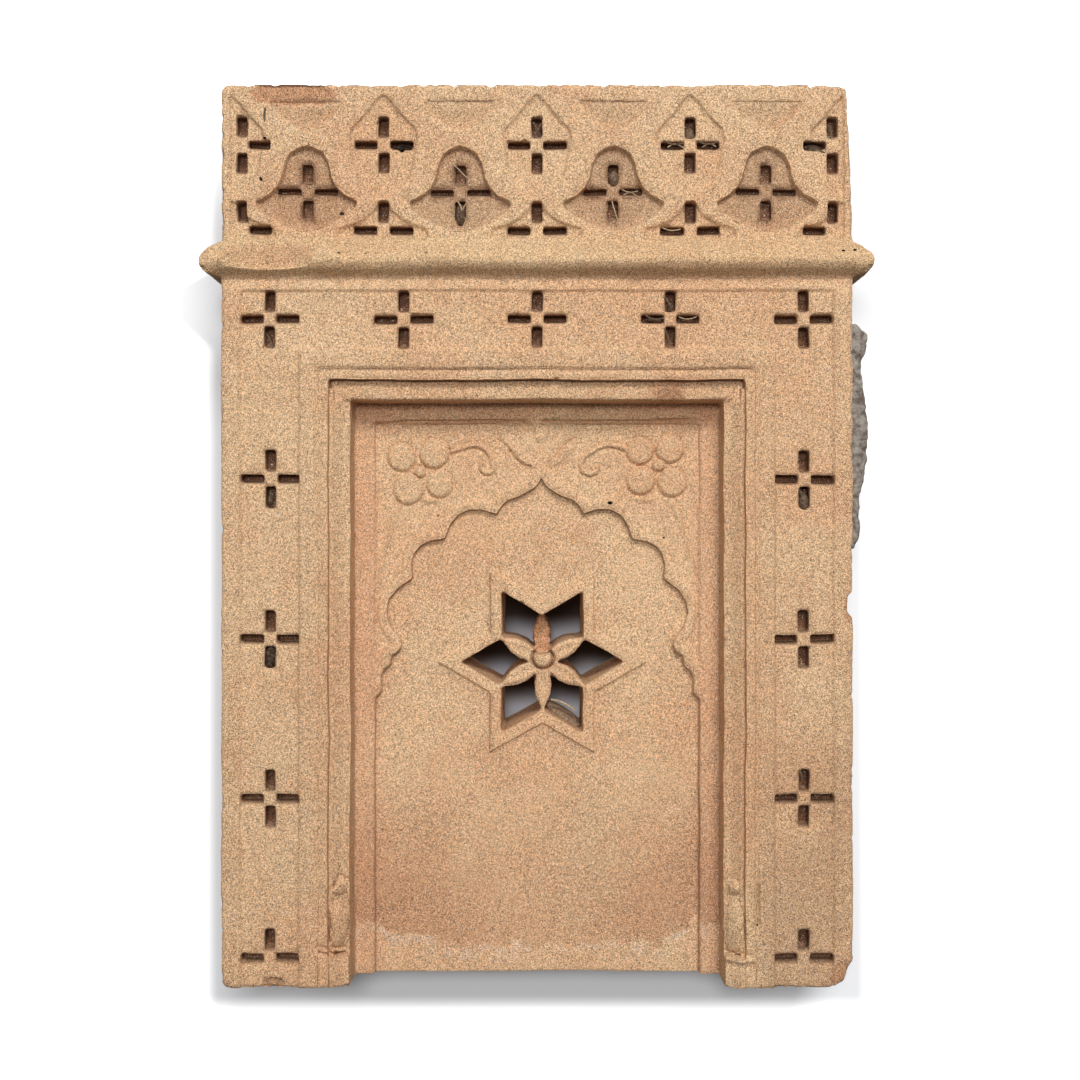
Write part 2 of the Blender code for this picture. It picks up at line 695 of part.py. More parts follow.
main()
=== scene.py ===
"""The looks of a carved sandstone niche panel: worn stone, old mortar and what has lodged in its slots.

Metres, +Z up, the carved front faces -Y. The sizes of the panel come from the frame and are never changed here.
"""

import itertools
import math

import bpy
import numpy as np
from bpy.props import FloatProperty, FloatVectorProperty, IntProperty, PointerProperty
from bpy.types import Operator, Panel, PropertyGroup
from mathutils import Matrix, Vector
from mathutils.bvhtree import BVHTree
from mathutils.kdtree import KDTree


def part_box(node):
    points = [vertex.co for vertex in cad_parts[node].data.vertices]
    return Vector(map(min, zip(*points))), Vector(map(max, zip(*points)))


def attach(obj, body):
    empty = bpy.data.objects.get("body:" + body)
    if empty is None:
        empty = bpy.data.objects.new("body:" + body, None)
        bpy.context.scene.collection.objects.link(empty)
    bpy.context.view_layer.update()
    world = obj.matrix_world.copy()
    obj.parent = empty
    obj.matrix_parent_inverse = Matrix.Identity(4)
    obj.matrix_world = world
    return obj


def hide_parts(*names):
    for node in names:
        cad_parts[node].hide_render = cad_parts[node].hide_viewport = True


bl_info = {
    "name": "Sandstone Niche Panel",
    "version": (1, 0, 0),
    "blender": (4, 5, 0),
    "location": "View3D > Sidebar > Niche Panel",
    "description": "Builds the worn stone, mortar and debris of a carved niche panel, and its studio",
    "category": "Object",
}

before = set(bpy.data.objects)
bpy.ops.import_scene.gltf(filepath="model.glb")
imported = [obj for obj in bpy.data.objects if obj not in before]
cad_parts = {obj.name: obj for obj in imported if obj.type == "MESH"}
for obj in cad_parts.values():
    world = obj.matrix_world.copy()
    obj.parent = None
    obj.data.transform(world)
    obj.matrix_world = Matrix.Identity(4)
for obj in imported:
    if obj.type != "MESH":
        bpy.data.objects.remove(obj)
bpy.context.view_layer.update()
STONE_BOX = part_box("stone_panel")
MORTAR_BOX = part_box("mortar_remnant")

# Where the panel's members are. Depths are from the front plane of the frame
FRONT_Y = -0.0615
BACK_Y = 0.0785
HALF_WIDTH = 0.2795
CORNICE_LOW = 0.63
CORNICE_TOP = 0.6625
NICHE_HALF = 0.167
NICHE_TOP = 0.522
FIELD_HALF = 0.149
FIELD_TOP = 0.504
NICHE_DEPTH = 0.045
SPANDREL_DEPTH = 0.04875
ROUND_MOULD = 0.0175
STAR = (0.005, 0.285)
STAR_REACH = 0.096
BOSS_RISE = 0.003
BOSS_GROOVE = 0.0096
BROKEN_NOSE = -0.236
# The carving lies in front of the first of these, and only the star's gaps and the sides go past the second
CARVED_Y = FRONT_Y + 0.06
THROUGH_Y = BACK_Y - 0.05
# How far the foot of a step stays dirty and soft
FOOT_REACH = 0.002
# The size of the noise's table, and the primes that mix a place into it
NOISE_TABLE = 4096
NOISE_MIX = (73856093, 19349663, 83492791)

# Flowers of the spandrels: (across, up, radius) of each round petal, then of the eye
FLOWERS = (
    (-0.1245, 0.4728, 0.0131), (-0.0946, 0.4764, 0.0136), (-0.1187, 0.4433, 0.014), (-0.0898, 0.4481, 0.0126),
    (0.0939, 0.4784, 0.0127), (0.1216, 0.4801, 0.0132), (0.095, 0.4507, 0.013), (0.1233, 0.449, 0.0131),
    (-0.1077, 0.4596, 0.0055), (0.1111, 0.4651, 0.0058),
)
# Lines of low relief on the niche's back: half width, how far each stands proud (or is cut in), and its points
STROKES = (
    (0.0026, 0.0026, (
        (-0.0793, 0.4785), (-0.0709, 0.4811), (-0.0625, 0.4837), (-0.0541, 0.4837), (-0.0467, 0.4801),
        (-0.0425, 0.4743), (-0.041, 0.468), (-0.0396, 0.463), (-0.0425, 0.4588), (-0.0478, 0.4586),
        (-0.0515, 0.4622), (-0.05, 0.4669),
    )),
    (0.0026, 0.0026, (
        (0.08, 0.4806), (0.0733, 0.4834), (0.0657, 0.4845), (0.0568, 0.4823), (0.049, 0.4779),
        (0.0423, 0.4729), (0.0401, 0.4662), (0.0423, 0.4601), (0.0479, 0.4568), (0.054, 0.4584),
        (0.0557, 0.464),
    )),
    (0.0016, -0.005, ((-0.1465, 0.504), (-0.115, 0.5058), (-0.06, 0.5061), (-0.0101, 0.5062))),
    (0.0016, -0.005, ((0.0054, 0.5063), (0.05, 0.506), (0.095, 0.5058), (0.14, 0.5076))),
    (0.0014, -0.0022, (
        (-0.0362, 0.489), (-0.0261, 0.4815), (-0.0219, 0.4731), (-0.0145, 0.4663), (-0.006, 0.4645),
    )),
    (0.0014, -0.0022, (
        (0.0352, 0.4908), (0.0258, 0.4853), (0.0202, 0.4775), (0.0158, 0.4708), (0.0091, 0.4675),
    )),
    (0.0013, -0.0016, (
        (0.1263, 0.434), (0.13, 0.427), (0.134, 0.418), (0.1355, 0.4095), (0.136, 0.401),
    )),
    (0.0013, -0.0016, ((0.136, 0.404), (0.142, 0.387), (0.145, 0.374), (0.1475, 0.36))),
)
# The same on the feet of the jambs, measured on the moulding's face
JAMB_STROKES = (
    (0.0014, -0.002, ((-0.1882, 0.065), (-0.1837, 0.0563), (-0.1802, 0.0455))),
    (0.0012, -0.0022, ((-0.1716, 0.0875), (-0.1668, 0.067), (-0.1677, 0.0482), (-0.1716, 0.0366))),
    (0.0017, -0.0018, ((-0.1935, 0.0362), (-0.1721, 0.0332))),
    (0.0015, 0.0018, ((-0.1935, 0.0332), (-0.1721, 0.0302))),
    (0.0017, -0.0016, ((-0.1935, 0.03), (-0.1721, 0.0268))),
    (0.0013, -0.0022, ((-0.1816, 0.088), (-0.1745, 0.0985), (-0.169, 0.094))),
    (0.0012, -0.0022, (
        (0.1713, 0.087), (0.1713, 0.075), (0.1682, 0.0616), (0.1677, 0.0438), (0.17, 0.03),
    )),
    (0.0014, -0.003, ((0.1963, 0.0902), (0.1963, 0.0571))),
    (0.0013, -0.0022, ((0.1851, 0.0574), (0.1764, 0.0411))),
    (0.0017, -0.0018, ((0.1677, 0.03), (0.1918, 0.029))),
    (0.0022, 0.0018, ((0.1677, 0.025), (0.1918, 0.0243))),
    (0.0017, -0.0018, ((0.1677, 0.0196), (0.1918, 0.019))),
)
# Centres of the crosses in the frame and the frieze
COLUMN = 0.237
FRAME_ROWS = (0.592, 0.45025, 0.3085, 0.16675, 0.025)
ROW_ACROSS = (-0.237, -0.1185, 0.0, 0.1185, 0.237)
SHIELDS = (-0.262, -0.136, 0.0, 0.136, 0.262)
BELLS = (-0.204, -0.068, 0.068, 0.204)
CROSSES = (
    tuple((across, FRAME_ROWS[0]) for across in ROW_ACROSS)
    + tuple((side * COLUMN, up) for side in (-1, 1) for up in FRAME_ROWS[1:])
    + tuple((across, up) for across in SHIELDS for up in (0.7465, 0.671))
    + tuple((across, 0.705) for across in BELLS)
)
# Their arms: how far each one's middle lies across and up from the cross's centre, its width and its height
SLOT_LENGTH = 0.0205
SLOT_WIDTH = 0.0095
ARM_OUT = 0.016
ARMS = (
    (ARM_OUT, 0.0, SLOT_LENGTH, SLOT_WIDTH),
    (-ARM_OUT, 0.0, SLOT_LENGTH, SLOT_WIDTH),
    (0.0, ARM_OUT, SLOT_WIDTH, SLOT_LENGTH),
    (0.0, -ARM_OUT, SLOT_WIDTH, SLOT_LENGTH),
)
# How deep the slots' floors start to rise, and the height above which they rise more
SLOT_LIP = 0.0012
STEEPER_ABOVE = 0.397
# Twigs and straws: across and up of three points, how deep they lie, radius, and how pale
TWIGS = (
    (-0.0752, 0.7306, -0.069, 0.7244, -0.0619, 0.7174, -0.0005, 0.0005, 1.0),
    (-0.0708, 0.6979, -0.0654, 0.6908, -0.0681, 0.6811, 0.004, 0.0006, 1.0),
    (-0.0628, 0.6961, -0.0681, 0.6882, -0.0637, 0.682, 0.005, 0.0005, 1.0),
    (-0.0035, 0.7678, 0.0, 0.7616, 0.0036, 0.7545, 0.004, 0.0006, 0.3),
    (0.0036, 0.7669, 0.0, 0.7598, -0.0026, 0.7536, 0.005, 0.0006, 0.0),
    (0.1124, 0.7519, 0.1195, 0.7466, 0.1292, 0.7492, 0.004, 0.0006, 0.2),
    (0.116, 0.7457, 0.1222, 0.7501, 0.1301, 0.7457, 0.005, 0.0005, 0.8),
    (0.1443, 0.7501, 0.1523, 0.7466, 0.1611, 0.751, 0.004, 0.0006, 0.2),
    (0.1469, 0.7457, 0.1531, 0.7501, 0.1593, 0.7466, 0.005, 0.0005, 0.8),
    (0.0753, 0.7076, 0.0823, 0.7041, 0.0894, 0.7067, 0.003, 0.0005, 0.9),
    (0.077, 0.7032, 0.0832, 0.7067, 0.0885, 0.7023, 0.004, 0.0005, 0.7),
    (0.0664, 0.697, 0.0691, 0.6873, 0.0735, 0.6749, 0.001, 0.0005, 0.9),
    (0.2399, 0.7421, 0.2469, 0.7448, 0.2558, 0.7404, 0.003, 0.0006, 0.2),
    (0.2585, 0.7651, 0.262, 0.7589, 0.2602, 0.7519, 0.004, 0.0006, 0.4),
    (0.1133, 0.6129, 0.1169, 0.6076, 0.1195, 0.6014, 0.003, 0.0007, 0.2),
    (0.0965, 0.5961, 0.1045, 0.5917, 0.1124, 0.5943, 0.004, 0.0006, 0.2),
    (0.1257, 0.5952, 0.1328, 0.5917, 0.1416, 0.5952, 0.004, 0.0005, 0.8),
    (0.1133, 0.5846, 0.116, 0.5766, 0.1186, 0.5705, 0.003, 0.0006, 0.4),
    (0.1116, 0.674, 0.1186, 0.6705, 0.1275, 0.6731, 0.004, 0.0005, 0.9),
    (0.2319, 0.1943, 0.2337, 0.1899, 0.2354, 0.1837, -0.0003, 0.0007, 0.1),
    (-0.2402, 0.7793, -0.2411, 0.774, -0.2411, 0.7669, -0.0006, 0.001, 0.0),
    (-0.2398, 0.5802, -0.2362, 0.574, -0.2345, 0.5669, 0.004, 0.0006, 0.3),
    (0.2328, 0.4421, 0.2354, 0.4351, 0.2372, 0.428, 0.004, 0.0006, 0.3),
    (0.013, 0.249, 0.024, 0.2475, 0.0349, 0.239, 0.064, 0.0011, 0.9),
)
# Lumps of mud: across, depth, up, half sizes in the same order, turn in degrees and how dark
MUD = (
    (0.0255, 0.09, 0.231, 0.0235, 0.022, 0.0068, 35.0, 0.15),
    (-0.1195, 0.009, 0.745, 0.0085, 0.0045, 0.0036, 0.0, 1.0),
    (0.1355, 0.011, 0.757, 0.0036, 0.005, 0.0052, 0.0, 0.55),
    (0.0685, 0.011, 0.7185, 0.0036, 0.005, 0.006, 0.0, 0.55),
    (-0.068, 0.009, 0.686, 0.0034, 0.005, 0.008, 0.0, 0.7),
    (0.102, 0.01, 0.593, 0.008, 0.005, 0.0034, 0.0, 0.8),
    (0.118, 0.009, 0.604, 0.0034, 0.005, 0.0055, 0.0, 0.7),
    (-0.237, 0.008, 0.433, 0.003, 0.004, 0.006, 0.0, 0.7),
    (-0.237, 0.009, 0.292, 0.0034, 0.005, 0.007, 0.0, 0.9),
    (0.237, 0.009, 0.43, 0.0034, 0.005, 0.006, 0.0, 0.7),
    (0.244, 0.011, 0.745, 0.007, 0.005, 0.0034, 0.0, 0.9),
)
# Dark seeds and grit on the surface: across, up, half sizes, turn in degrees
SEEDS = (
    (-0.2407, 0.7527, 0.0013, 0.0011, 0.0), (-0.2442, 0.7165, 0.0011, 0.0019, -35.0),
    (-0.1734, 0.6873, 0.0015, 0.0011, 0.0), (-0.1734, 0.6483, 0.0016, 0.0006, 10.0),
    (-0.15, 0.6478, 0.0012, 0.0006, 0.0), (-0.097, 0.649, 0.0012, 0.0006, 0.0),
    (0.2284, 0.651, 0.0012, 0.0006, 0.0), (0.269, 0.651, 0.0012, 0.0007, 0.0),
    (0.279, 0.6515, 0.0012, 0.0007, 0.0), (0.067, 0.431, 0.0019, 0.0011, 0.0),
    (-0.101, 0.504, 0.001, 0.0008, 40.0), (0.116, 0.399, 0.0012, 0.0006, -40.0),
    (-0.0905, 0.4195, 0.0008, 0.0008, 0.0), (0.195, 0.056, 0.001, 0.0009, 0.0),
)
# Places where the surface has broken off: (across, up, half width, half height, depth, how brown it is)
SPALLS = (
    (-0.219, 0.792, 0.04, 0.0115, 0.0026, 1.0),
    (-0.233, 0.004, 0.011, 0.006, 0.003, 0.5),
    (0.277, 0.339, 0.005, 0.013, 0.0, 1.0),
    (0.117, 0.53, 0.016, 0.011, 0.0, 0.8),
    (0.274, 0.01, 0.015, 0.016, 0.0, 0.8),
    (-0.236, 0.648, 0.043, 0.012, 0.0, 0.45),
)

# The camera in front of the panel's middle, and the light from below as a share of that from above
CAMERA_PLACE = (0.0027, -1.3885, 0.397)
LENS = 50.0
SKY_BELOW = 0.32


class PanelStone(PropertyGroup):
    voxel: FloatProperty(
        name="Grid", description="Size of the grid that the stone is worn on", default=0.0013, unit="LENGTH"
    )
    wear_steps: IntProperty(name="Wear", description="How far the whole stone is worn", default=2)
    chips: IntProperty(name="Chips", description="Small chips along the arrises", default=260)
    wobble: FloatProperty(
        name="Wobble", description="How far hand-cut lines stray", default=0.0008, unit="LENGTH"
    )
    roughness: FloatProperty(
        name="Rough", description="Height of the uneven surface", default=0.00016, unit="LENGTH"
    )
    triangles: IntProperty(name="Triangles", description="Most triangles of the stone", default=190000)
    buff: FloatVectorProperty(
        name="Buff", description="The sandstone's main colour", subtype="COLOR", default=(0.595, 0.382, 0.228)
    )


class Studio(PropertyGroup):
    key: FloatProperty(name="Key", description="Power of the light above", default=100.0)
    front: FloatProperty(name="Front", description="Power of the light near the camera", default=34.0)
    sky: FloatProperty(name="Sky", description="Brightness all round", default=0.4)


class Socket:
    """A shader socket that Python's operators work on, each adding a Math node."""

    def __init__(self, tree, socket):
        self.tree = tree
        self.socket = socket

    def math(self, operation, *others, clamp=False):
        values = [self, *others]
        return self.tree.node("ShaderNodeMath", {"operation": operation, "use_clamp": clamp}, values)

    def __add__(self, other):
        return self.math("ADD", other)

    __radd__ = __add__

    def __mul__(self, other):
        return self.math("MULTIPLY", other)

    __rmul__ = __mul__

    def __sub__(self, other):
        return self.math("SUBTRACT", other)

    def __rsub__(self, other):
        return self.tree.node("ShaderNodeMath", {"operation": "SUBTRACT"}, [other, self])

    def __abs__(self):
        return self.math("ABSOLUTE")

    def clamped(self):
        return self.math("ADD", 0.0, clamp=True)

    def step(self, low, high):
        """0 below low and 1 above high, smooth between. With low above high it runs the other way."""
        settings = {"interpolation_type": "SMOOTHSTEP"}
        if low < high:
            return self.tree.node("ShaderNodeMapRange", settings, [self, low, high, 0.0, 1.0])
        return self.tree.node("ShaderNodeMapRange", settings, [self, high, low, 1.0, 0.0])


class Finish:
    """A material with a Principled shader, and the one method that adds nodes to it."""

    def __init__(self, name, roughness):
        self.material = bpy.data.materials.new(name)
        self.material.use_nodes = True
        self.nodes = self.material.node_tree.nodes
        self.links = self.material.node_tree.links
        self.shader = self.nodes["Principled BSDF"]
        self.shader.inputs["Roughness"].default_value = roughness
        self.shader.inputs["Specular IOR Level"].default_value = 0.25
        self.place = self.node("ShaderNodeTexCoord", {}, {}, "Object")

    def node(self, kind, settings, inputs, output=0):
        """Adds a node. Inputs are numbers, colours or Sockets, by place in a list or by name in a dict."""
        made = self.nodes.new(kind)
        for name, value in settings.items():
            setattr(made, name, value)
        pairs = inputs.items() if isinstance(inputs, dict) else enumerate(inputs)
        for name, value in pairs:
            if isinstance(value, Socket):
                self.links.new(value.socket, made.inputs[name])
            elif value is not None:
                made.inputs[name].default_value = value
        return Socket(self, made.outputs[output])

    def noise(self, scale, detail, roughness):
        inputs = {"Vector": self.place, "Scale": scale, "Detail": detail, "Roughness": roughness}
        return self.node("ShaderNodeTexNoise", {}, inputs)

    def attribute(self, name):
        return self.node("ShaderNodeAttribute", {"attribute_name": name}, {}, "Fac")

    def axes(self):
        parts = self.nodes.new("ShaderNodeSeparateXYZ")
        self.links.new(self.place.socket, parts.inputs[0])
        return [Socket(self, parts.outputs[axis]) for axis in range(3)]

    def mix(self, share, low, high):
        """Colours mixed by a share."""
        low = (*low, 1.0) if isinstance(low, tuple) else low
        high = (*high, 1.0) if isinstance(high, tuple) else high
        return self.node("ShaderNodeMix", {"data_type": "RGBA"}, {0: share, 6: low, 7: high}, 2)

    def paint(self, colour, height, strength, distance):
        """Gives the shader its colour and its bumps."""
        self.links.new(colour.socket, self.shader.inputs["Base Color"])
        inputs = {"Height": height, "Strength": strength, "Distance": distance}
        bump = self.node("ShaderNodeBump", {}, inputs)
        self.links.new(bump.socket, self.shader.inputs["Normal"])
        return self.material


def sandstone(buff):
    """Buff sandstone: sandy grain, warm and yellow patches, pink limewash in the niche, dirt and painted shade
    in the hollows, creases, feet of steps and slots, and painted light under the cornice.
    """
    stone = Finish("sandstone", 0.95)
    across, depth, up = stone.axes()
    side = abs(across)
    warp = stone.noise(24.0, 4.0, 0.65) - 0.5

    def tint(*shares):
        return tuple(np.array(buff) * shares)

    # Mixes a colour over the stone: used for limewash, damp, salts and breaks, and below also for painted shade
    # in hollows, creases and slots
    def stain_and_shade(share, over):
        return stone.mix(share.clamped(), colour, over)

    patches = stone.noise(7.0, 4.0, 0.6).step(0.38, 0.62)
    colour = stone.mix(patches, tint(0.97, 0.9, 0.84), tint(1.02, 1.05, 1.02))
    colour = stone.mix(stone.noise(31.0, 3.0, 0.6).step(0.5, 0.68) * 0.35, colour, tint(0.93, 0.8, 0.72))
    # Pink where the niche was once limewashed, deepest under the lintel, where its darker tone is also painted
    # shade from the lintel
    inside = side.step(NICHE_HALF + 0.002, NICHE_HALF - 0.002) * up.step(NICHE_TOP + 0.003, NICHE_TOP - 0.001)
    inside = inside * depth.step(FRONT_Y + 0.03, FRONT_Y + 0.038) * depth.step(BACK_Y - 0.02, BACK_Y - 0.03)
    edge = side - FIELD_HALF
    border = (edge + warp * 0.02).step(-0.012, 0.002)
    lintel = (up + warp * 0.03).step(FIELD_TOP - 0.008, NICHE_TOP + 0.003)
    colour = stain_and_shade(inside * border * 0.42, tint(0.93, 0.76, 0.74))
    patchy = stone.noise(15.0, 3.0, 0.6).step(0.34, 0.6)
    colour = stain_and_shade(inside * lintel * patchy * 0.48, tint(0.84, 0.58, 0.54))
    # Damp in the niche's foot, with a tide line and salts under it
    tide = 0.026 + side.step(0.12, 0.15) * 0.026 + warp * 0.075
    above = (up - tide).step(-0.0015, 0.0035)
    damp = (up + warp * 0.12).step(0.215, 0.045) * (0.45 + side.step(0.03, 0.14) * 0.55)
    colour = stain_and_shade(inside * above * damp * 0.56, tint(0.62, 0.46, 0.4))
    salts = (up - tide + 0.006).step(-0.01, 0.0) * (up - tide + 0.004).step(0.006, 0.001)
    salts = salts * stone.noise(90.0, 3.0, 0.7).step(0.42, 0.62)
    colour = stain_and_shade(inside * salts * 0.32, (0.62, 0.5, 0.42))
    # The right jamb's foot is darker and greyer, the cornice yellower
    foot = across.step(0.185, 0.215) * (up + warp * 0.16).step(0.27, 0.15)
    foot = foot * stone.noise(19.0, 3.0, 0.6).step(0.3, 0.55)
    colour = stain_and_shade(foot * 0.55, tint(0.7, 0.64, 0.6))
    ledge = up.step(CORNICE_LOW - 0.002, CORNICE_LOW + 0.004)
    ledge = ledge * up.step(CORNICE_TOP + 0.012, CORNICE_TOP - 0.002)
    colour = stone.mix(ledge * 0.45, colour, tint(0.95, 1.02, 0.92))
    # Breaks, then darkening in the hollows, the creases, the feet of steps and the slots: dirt, and painted
    # shade where less light reaches
    colour = stain_and_shade(stone.attribute("broken") * 0.85, tint(0.76, 0.6, 0.52))
    colour = stain_and_shade(stone.attribute("hollow").step(0.34, 0.8) * 0.55, tint(0.34, 0.26, 0.24))
    colour = stain_and_shade(stone.attribute("crease").step(0.24, 0.62) * 0.6, tint(0.3, 0.24, 0.22))
    # The feet of steps get dirt and painted shadow, darkest where they face down and left
    colour = stain_and_shade(stone.attribute("line") * (0.62 + warp * 1.6), tint(0.26, 0.2, 0.19))
    colour = stain_and_shade(stone.attribute("slot") * 0.9, tint(0.24, 0.155, 0.135))
    # Grain, with a lighter niche and a band of painted light under the cornice, where the cornice's shadow
    # falls
    grain = stone.noise(1150.0, 2.0, 0.7)
    tone = stone.node("ShaderNodeTexVoronoi", {}, {"Vector": stone.place, "Scale": 1200.0}, "Color")
    shade = 1.0 + (grain - 0.5) * 2.9 + (tone - 0.5) * 1.3
    shade = shade + inside * 0.09 + up.step(0.611, 0.619) * up.step(0.632, 0.629) * 0.16
    colour = stone.node("ShaderNodeVectorMath", {"operation": "SCALE"}, {"Vector": colour, "Scale": shade})
    specks = stone.noise(900.0, 1.0, 0.5)
    colour = stone.mix(specks.step(0.66, 0.715) * 0.75, colour, (0.9, 0.79, 0.64))
    colour = stone.mix(specks.step(0.34, 0.28) * 0.72, colour, (0.12, 0.07, 0.05))
    height = grain * 1.5 + stone.noise(210.0, 3.0, 0.6) * 0.3
    return stone.paint(colour, height, 0.5, 0.001)


def old_mortar():
    mortar = Finish("old_mortar", 0.95)
    lumps = mortar.noise(160.0, 4.0, 0.65)
    colour = mortar.mix(lumps.step(0.35, 0.65), (0.12, 0.095, 0.075), (0.34, 0.3, 0.26))
    height = lumps + mortar.noise(600.0, 2.0, 0.6) * 0.5
    return mortar.paint(colour, height, 0.8, 0.002)


def only_select(piece):
    bpy.ops.object.select_all(action="DESELECT")
    piece.select_set(True)
    bpy.context.view_layer.objects.active = piece


def copied_node(node, name):
    """A copy of a node's mesh with its loose triangles merged."""
    piece = bpy.data.objects.new(name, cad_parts[node].data.copy())
    bpy.context.scene.collection.objects.link(piece)
    piece.data.materials.clear()
    only_select(piece)
    bpy.ops.object.mode_set(mode="EDIT")
    bpy.ops.mesh.select_all(action="SELECT")
    bpy.ops.mesh.remove_doubles(threshold=0.00001)
    bpy.ops.object.mode_set(mode="OBJECT")
    return piece


def apply_modifier(piece, kind, **settings):
    only_select(piece)
    modifier = piece.modifiers.new(kind, kind)
    for key, value in settings.items():
        setattr(modifier, key, value)
    bpy.ops.object.modifier_apply(modifier=modifier.name)


def gathered(items, name):
    values = np.empty(len(items) * 3, np.float32)
    items.foreach_get(name, values)
    return values.reshape(-1, 3)


def places_of(piece):
    return gathered(piece.data.vertices, "co")


def normals_of(piece):
    return gathered(piece.data.vertex_normals, "vector")


def set_places(piece, places):
    piece.data.vertices.foreach_set("co", places.astype(np.float32).ravel())
    piece.data.update()


def uneven(places, size, seed):
    """Smooth noise between -1 and 1, with features about as large as size."""
    table = np.random.default_rng(seed).uniform(-1.0, 1.0, NOISE_TABLE).astype(np.float32)
    cell = places / size
    base = np.floor(cell).astype(np.int64)
    part = (cell - base).astype(np.float32)
    part = part * part * (3 - 2 * part)
    total = np.zeros(len(places), np.float32)
    for corner in itertools.product((0, 1), repeat=3):
        across, depth, up = ((base + corner) * NOISE_MIX).T
        share = np.prod(np.where(corner, part, 1 - part), axis=1)
        total += share * table[(across ^ depth ^ up) & (NOISE_TABLE - 1)]
    return total


def ramp(values, low, high):
    """0 at low, 1 at high and smooth between, either way round."""
    share = np.clip((values - low) / (high - low), 0, 1)
    return share * share * (3 - 2 * share)


def bell(values, middle, width):
    """1 at the middle, falling away smoothly to both sides."""
    return np.exp(-((values - middle) / width) ** 2)


def within(values, low, high):
    return (values > low) & (values < high)


def out_of_niche(across, up):
    """How far out from the niche's edge each place is, less than 0 inside the niche."""
    return np.maximum(np.abs(across) - NICHE_HALF, up - NICHE_TOP)


def from_boss(places):
    """How far each place is from the middle of the star's boss, seen from the front."""
    return np.hypot(places[:, 0] - STAR[0], places[:, 2] - STAR[1] - BOSS_RISE)


def worn(piece, places, share, steps, pace=0.6):
    """Moves each point towards the mean of its neighbours, by its share, step by step."""
    ends = np.empty(len(piece.data.edges) * 2, np.int32)
    piece.data.edges.foreach_get("vertices", ends)
    ends = ends.reshape(-1, 2)
    both = np.concatenate([ends, ends[:, ::-1]])
    count = np.bincount(both[:, 0], minlength=len(places)).astype(np.float32)
    share = (share * pace)[:, None]
    for _ in range(steps):
        mean = np.empty_like(places)
        for axis in range(3):
            mean[:, axis] = np.bincount(both[:, 0], places[both[:, 1], axis], len(places)) / count
        places = places + (mean - places) * share
    return places


def closeness(piece, far, near, rays):
    """How closed in each point is, within a far and a near reach: 0 in the open, up to 1 in a narrow slot."""
    tree = BVHTree.FromObject(piece, bpy.context.evaluated_depsgraph_get())
    places = places_of(piece)
    normals = normals_of(piece)
    spread = np.random.default_rng(5).normal(size=(rays, 3))
    spread /= np.linalg.norm(spread, axis=1)[:, None]
    hits = np.full((rays, len(places)), far, np.float32)
    starts = (places + normals * 0.0006).tolist()
    for row, ray in zip(hits, spread):
        for index, (start, way) in enumerate(zip(starts, (normals * 1.05 + ray).tolist())):
            length = tree.ray_cast(start, way, far)[3]
            if length is not None:
                row[index] = length
    return (1 - hits / far).mean(0), np.clip(1 - hits / near, 0, 1).mean(0)


def store(piece, name, values):
    kept = piece.data.attributes.new(name, "FLOAT", "POINT")
    kept.data.foreach_set("value", values.astype(np.float32))


class Walls:
    """The upright faces of the carving, gathered in small cells seen from the front."""

    def __init__(self, places, normals, cell):
        upright = (np.abs(normals[:, 1]) < 0.35) & (places[:, 1] < BACK_Y - 0.02)
        flat = places[upright][:, [0, 2]]
        keys = np.floor(flat / cell).astype(np.int64)
        _, group = np.unique(keys[:, 0] * 100000 + keys[:, 1], return_inverse=True)
        count = np.bincount(group)
        self.middle = np.stack([np.bincount(group, flat[:, axis]) / count for axis in (0, 1)], axis=1)
        way = np.stack([np.bincount(group, normals[upright, axis]) for axis in (0, 2)], axis=1)
        self.way = way / np.maximum(np.linalg.norm(way, axis=1), 1e-6)[:, None]
        self.deepest = np.full(len(count), -1.0)
        self.highest = np.full(len(count), 1.0)
        np.maximum.at(self.deepest, group, places[upright, 1])
        np.minimum.at(self.highest, group, places[upright, 1])
        self.tree = KDTree(len(count))
        for index, (across, up) in enumerate(self.middle):
            self.tree.insert((across, up, 0.0), index)
        self.tree.balance()

    def nearest(self, flat):
        """The nearest cell to each point and how far it is."""
        found = [self.tree.find((across, up, 0.0)) for across, up in flat.tolist()]
        return np.array([hit[1] for hit in found]), np.array([hit[2] for hit in found])


def deepened(places):
    """Cuts the low steps half as deep again, so that light from above draws them strongly."""
    places = places.copy()
    across, depth, up = places.T
    for start, steady, end in ((FRONT_Y, 0.006, 0.015), (FRONT_Y + NICHE_DEPTH, 0.008, 0.02)):
        sunk = depth - start
        near = within(sunk, 0, end)
        depth[near] += 0.5 * sunk[near] * ramp(sunk[near], end, steady)
    sunk = depth - FRONT_Y
    by_bell = np.min([np.abs(across - bell_at) for bell_at in BELLS], axis=0) < 0.047
    ledge = by_bell & within(sunk, 0, 0.012) & (up > 0.765)
    depth[ledge] -= sunk[ledge] * 0.85 * ramp(up[ledge], 0.767, 0.786)
    fillet = within(out_of_niche(across, up), 0.0174, 0.0277) & within(sunk, 0.002, 0.007)
    depth[fillet] -= 0.003
    return places


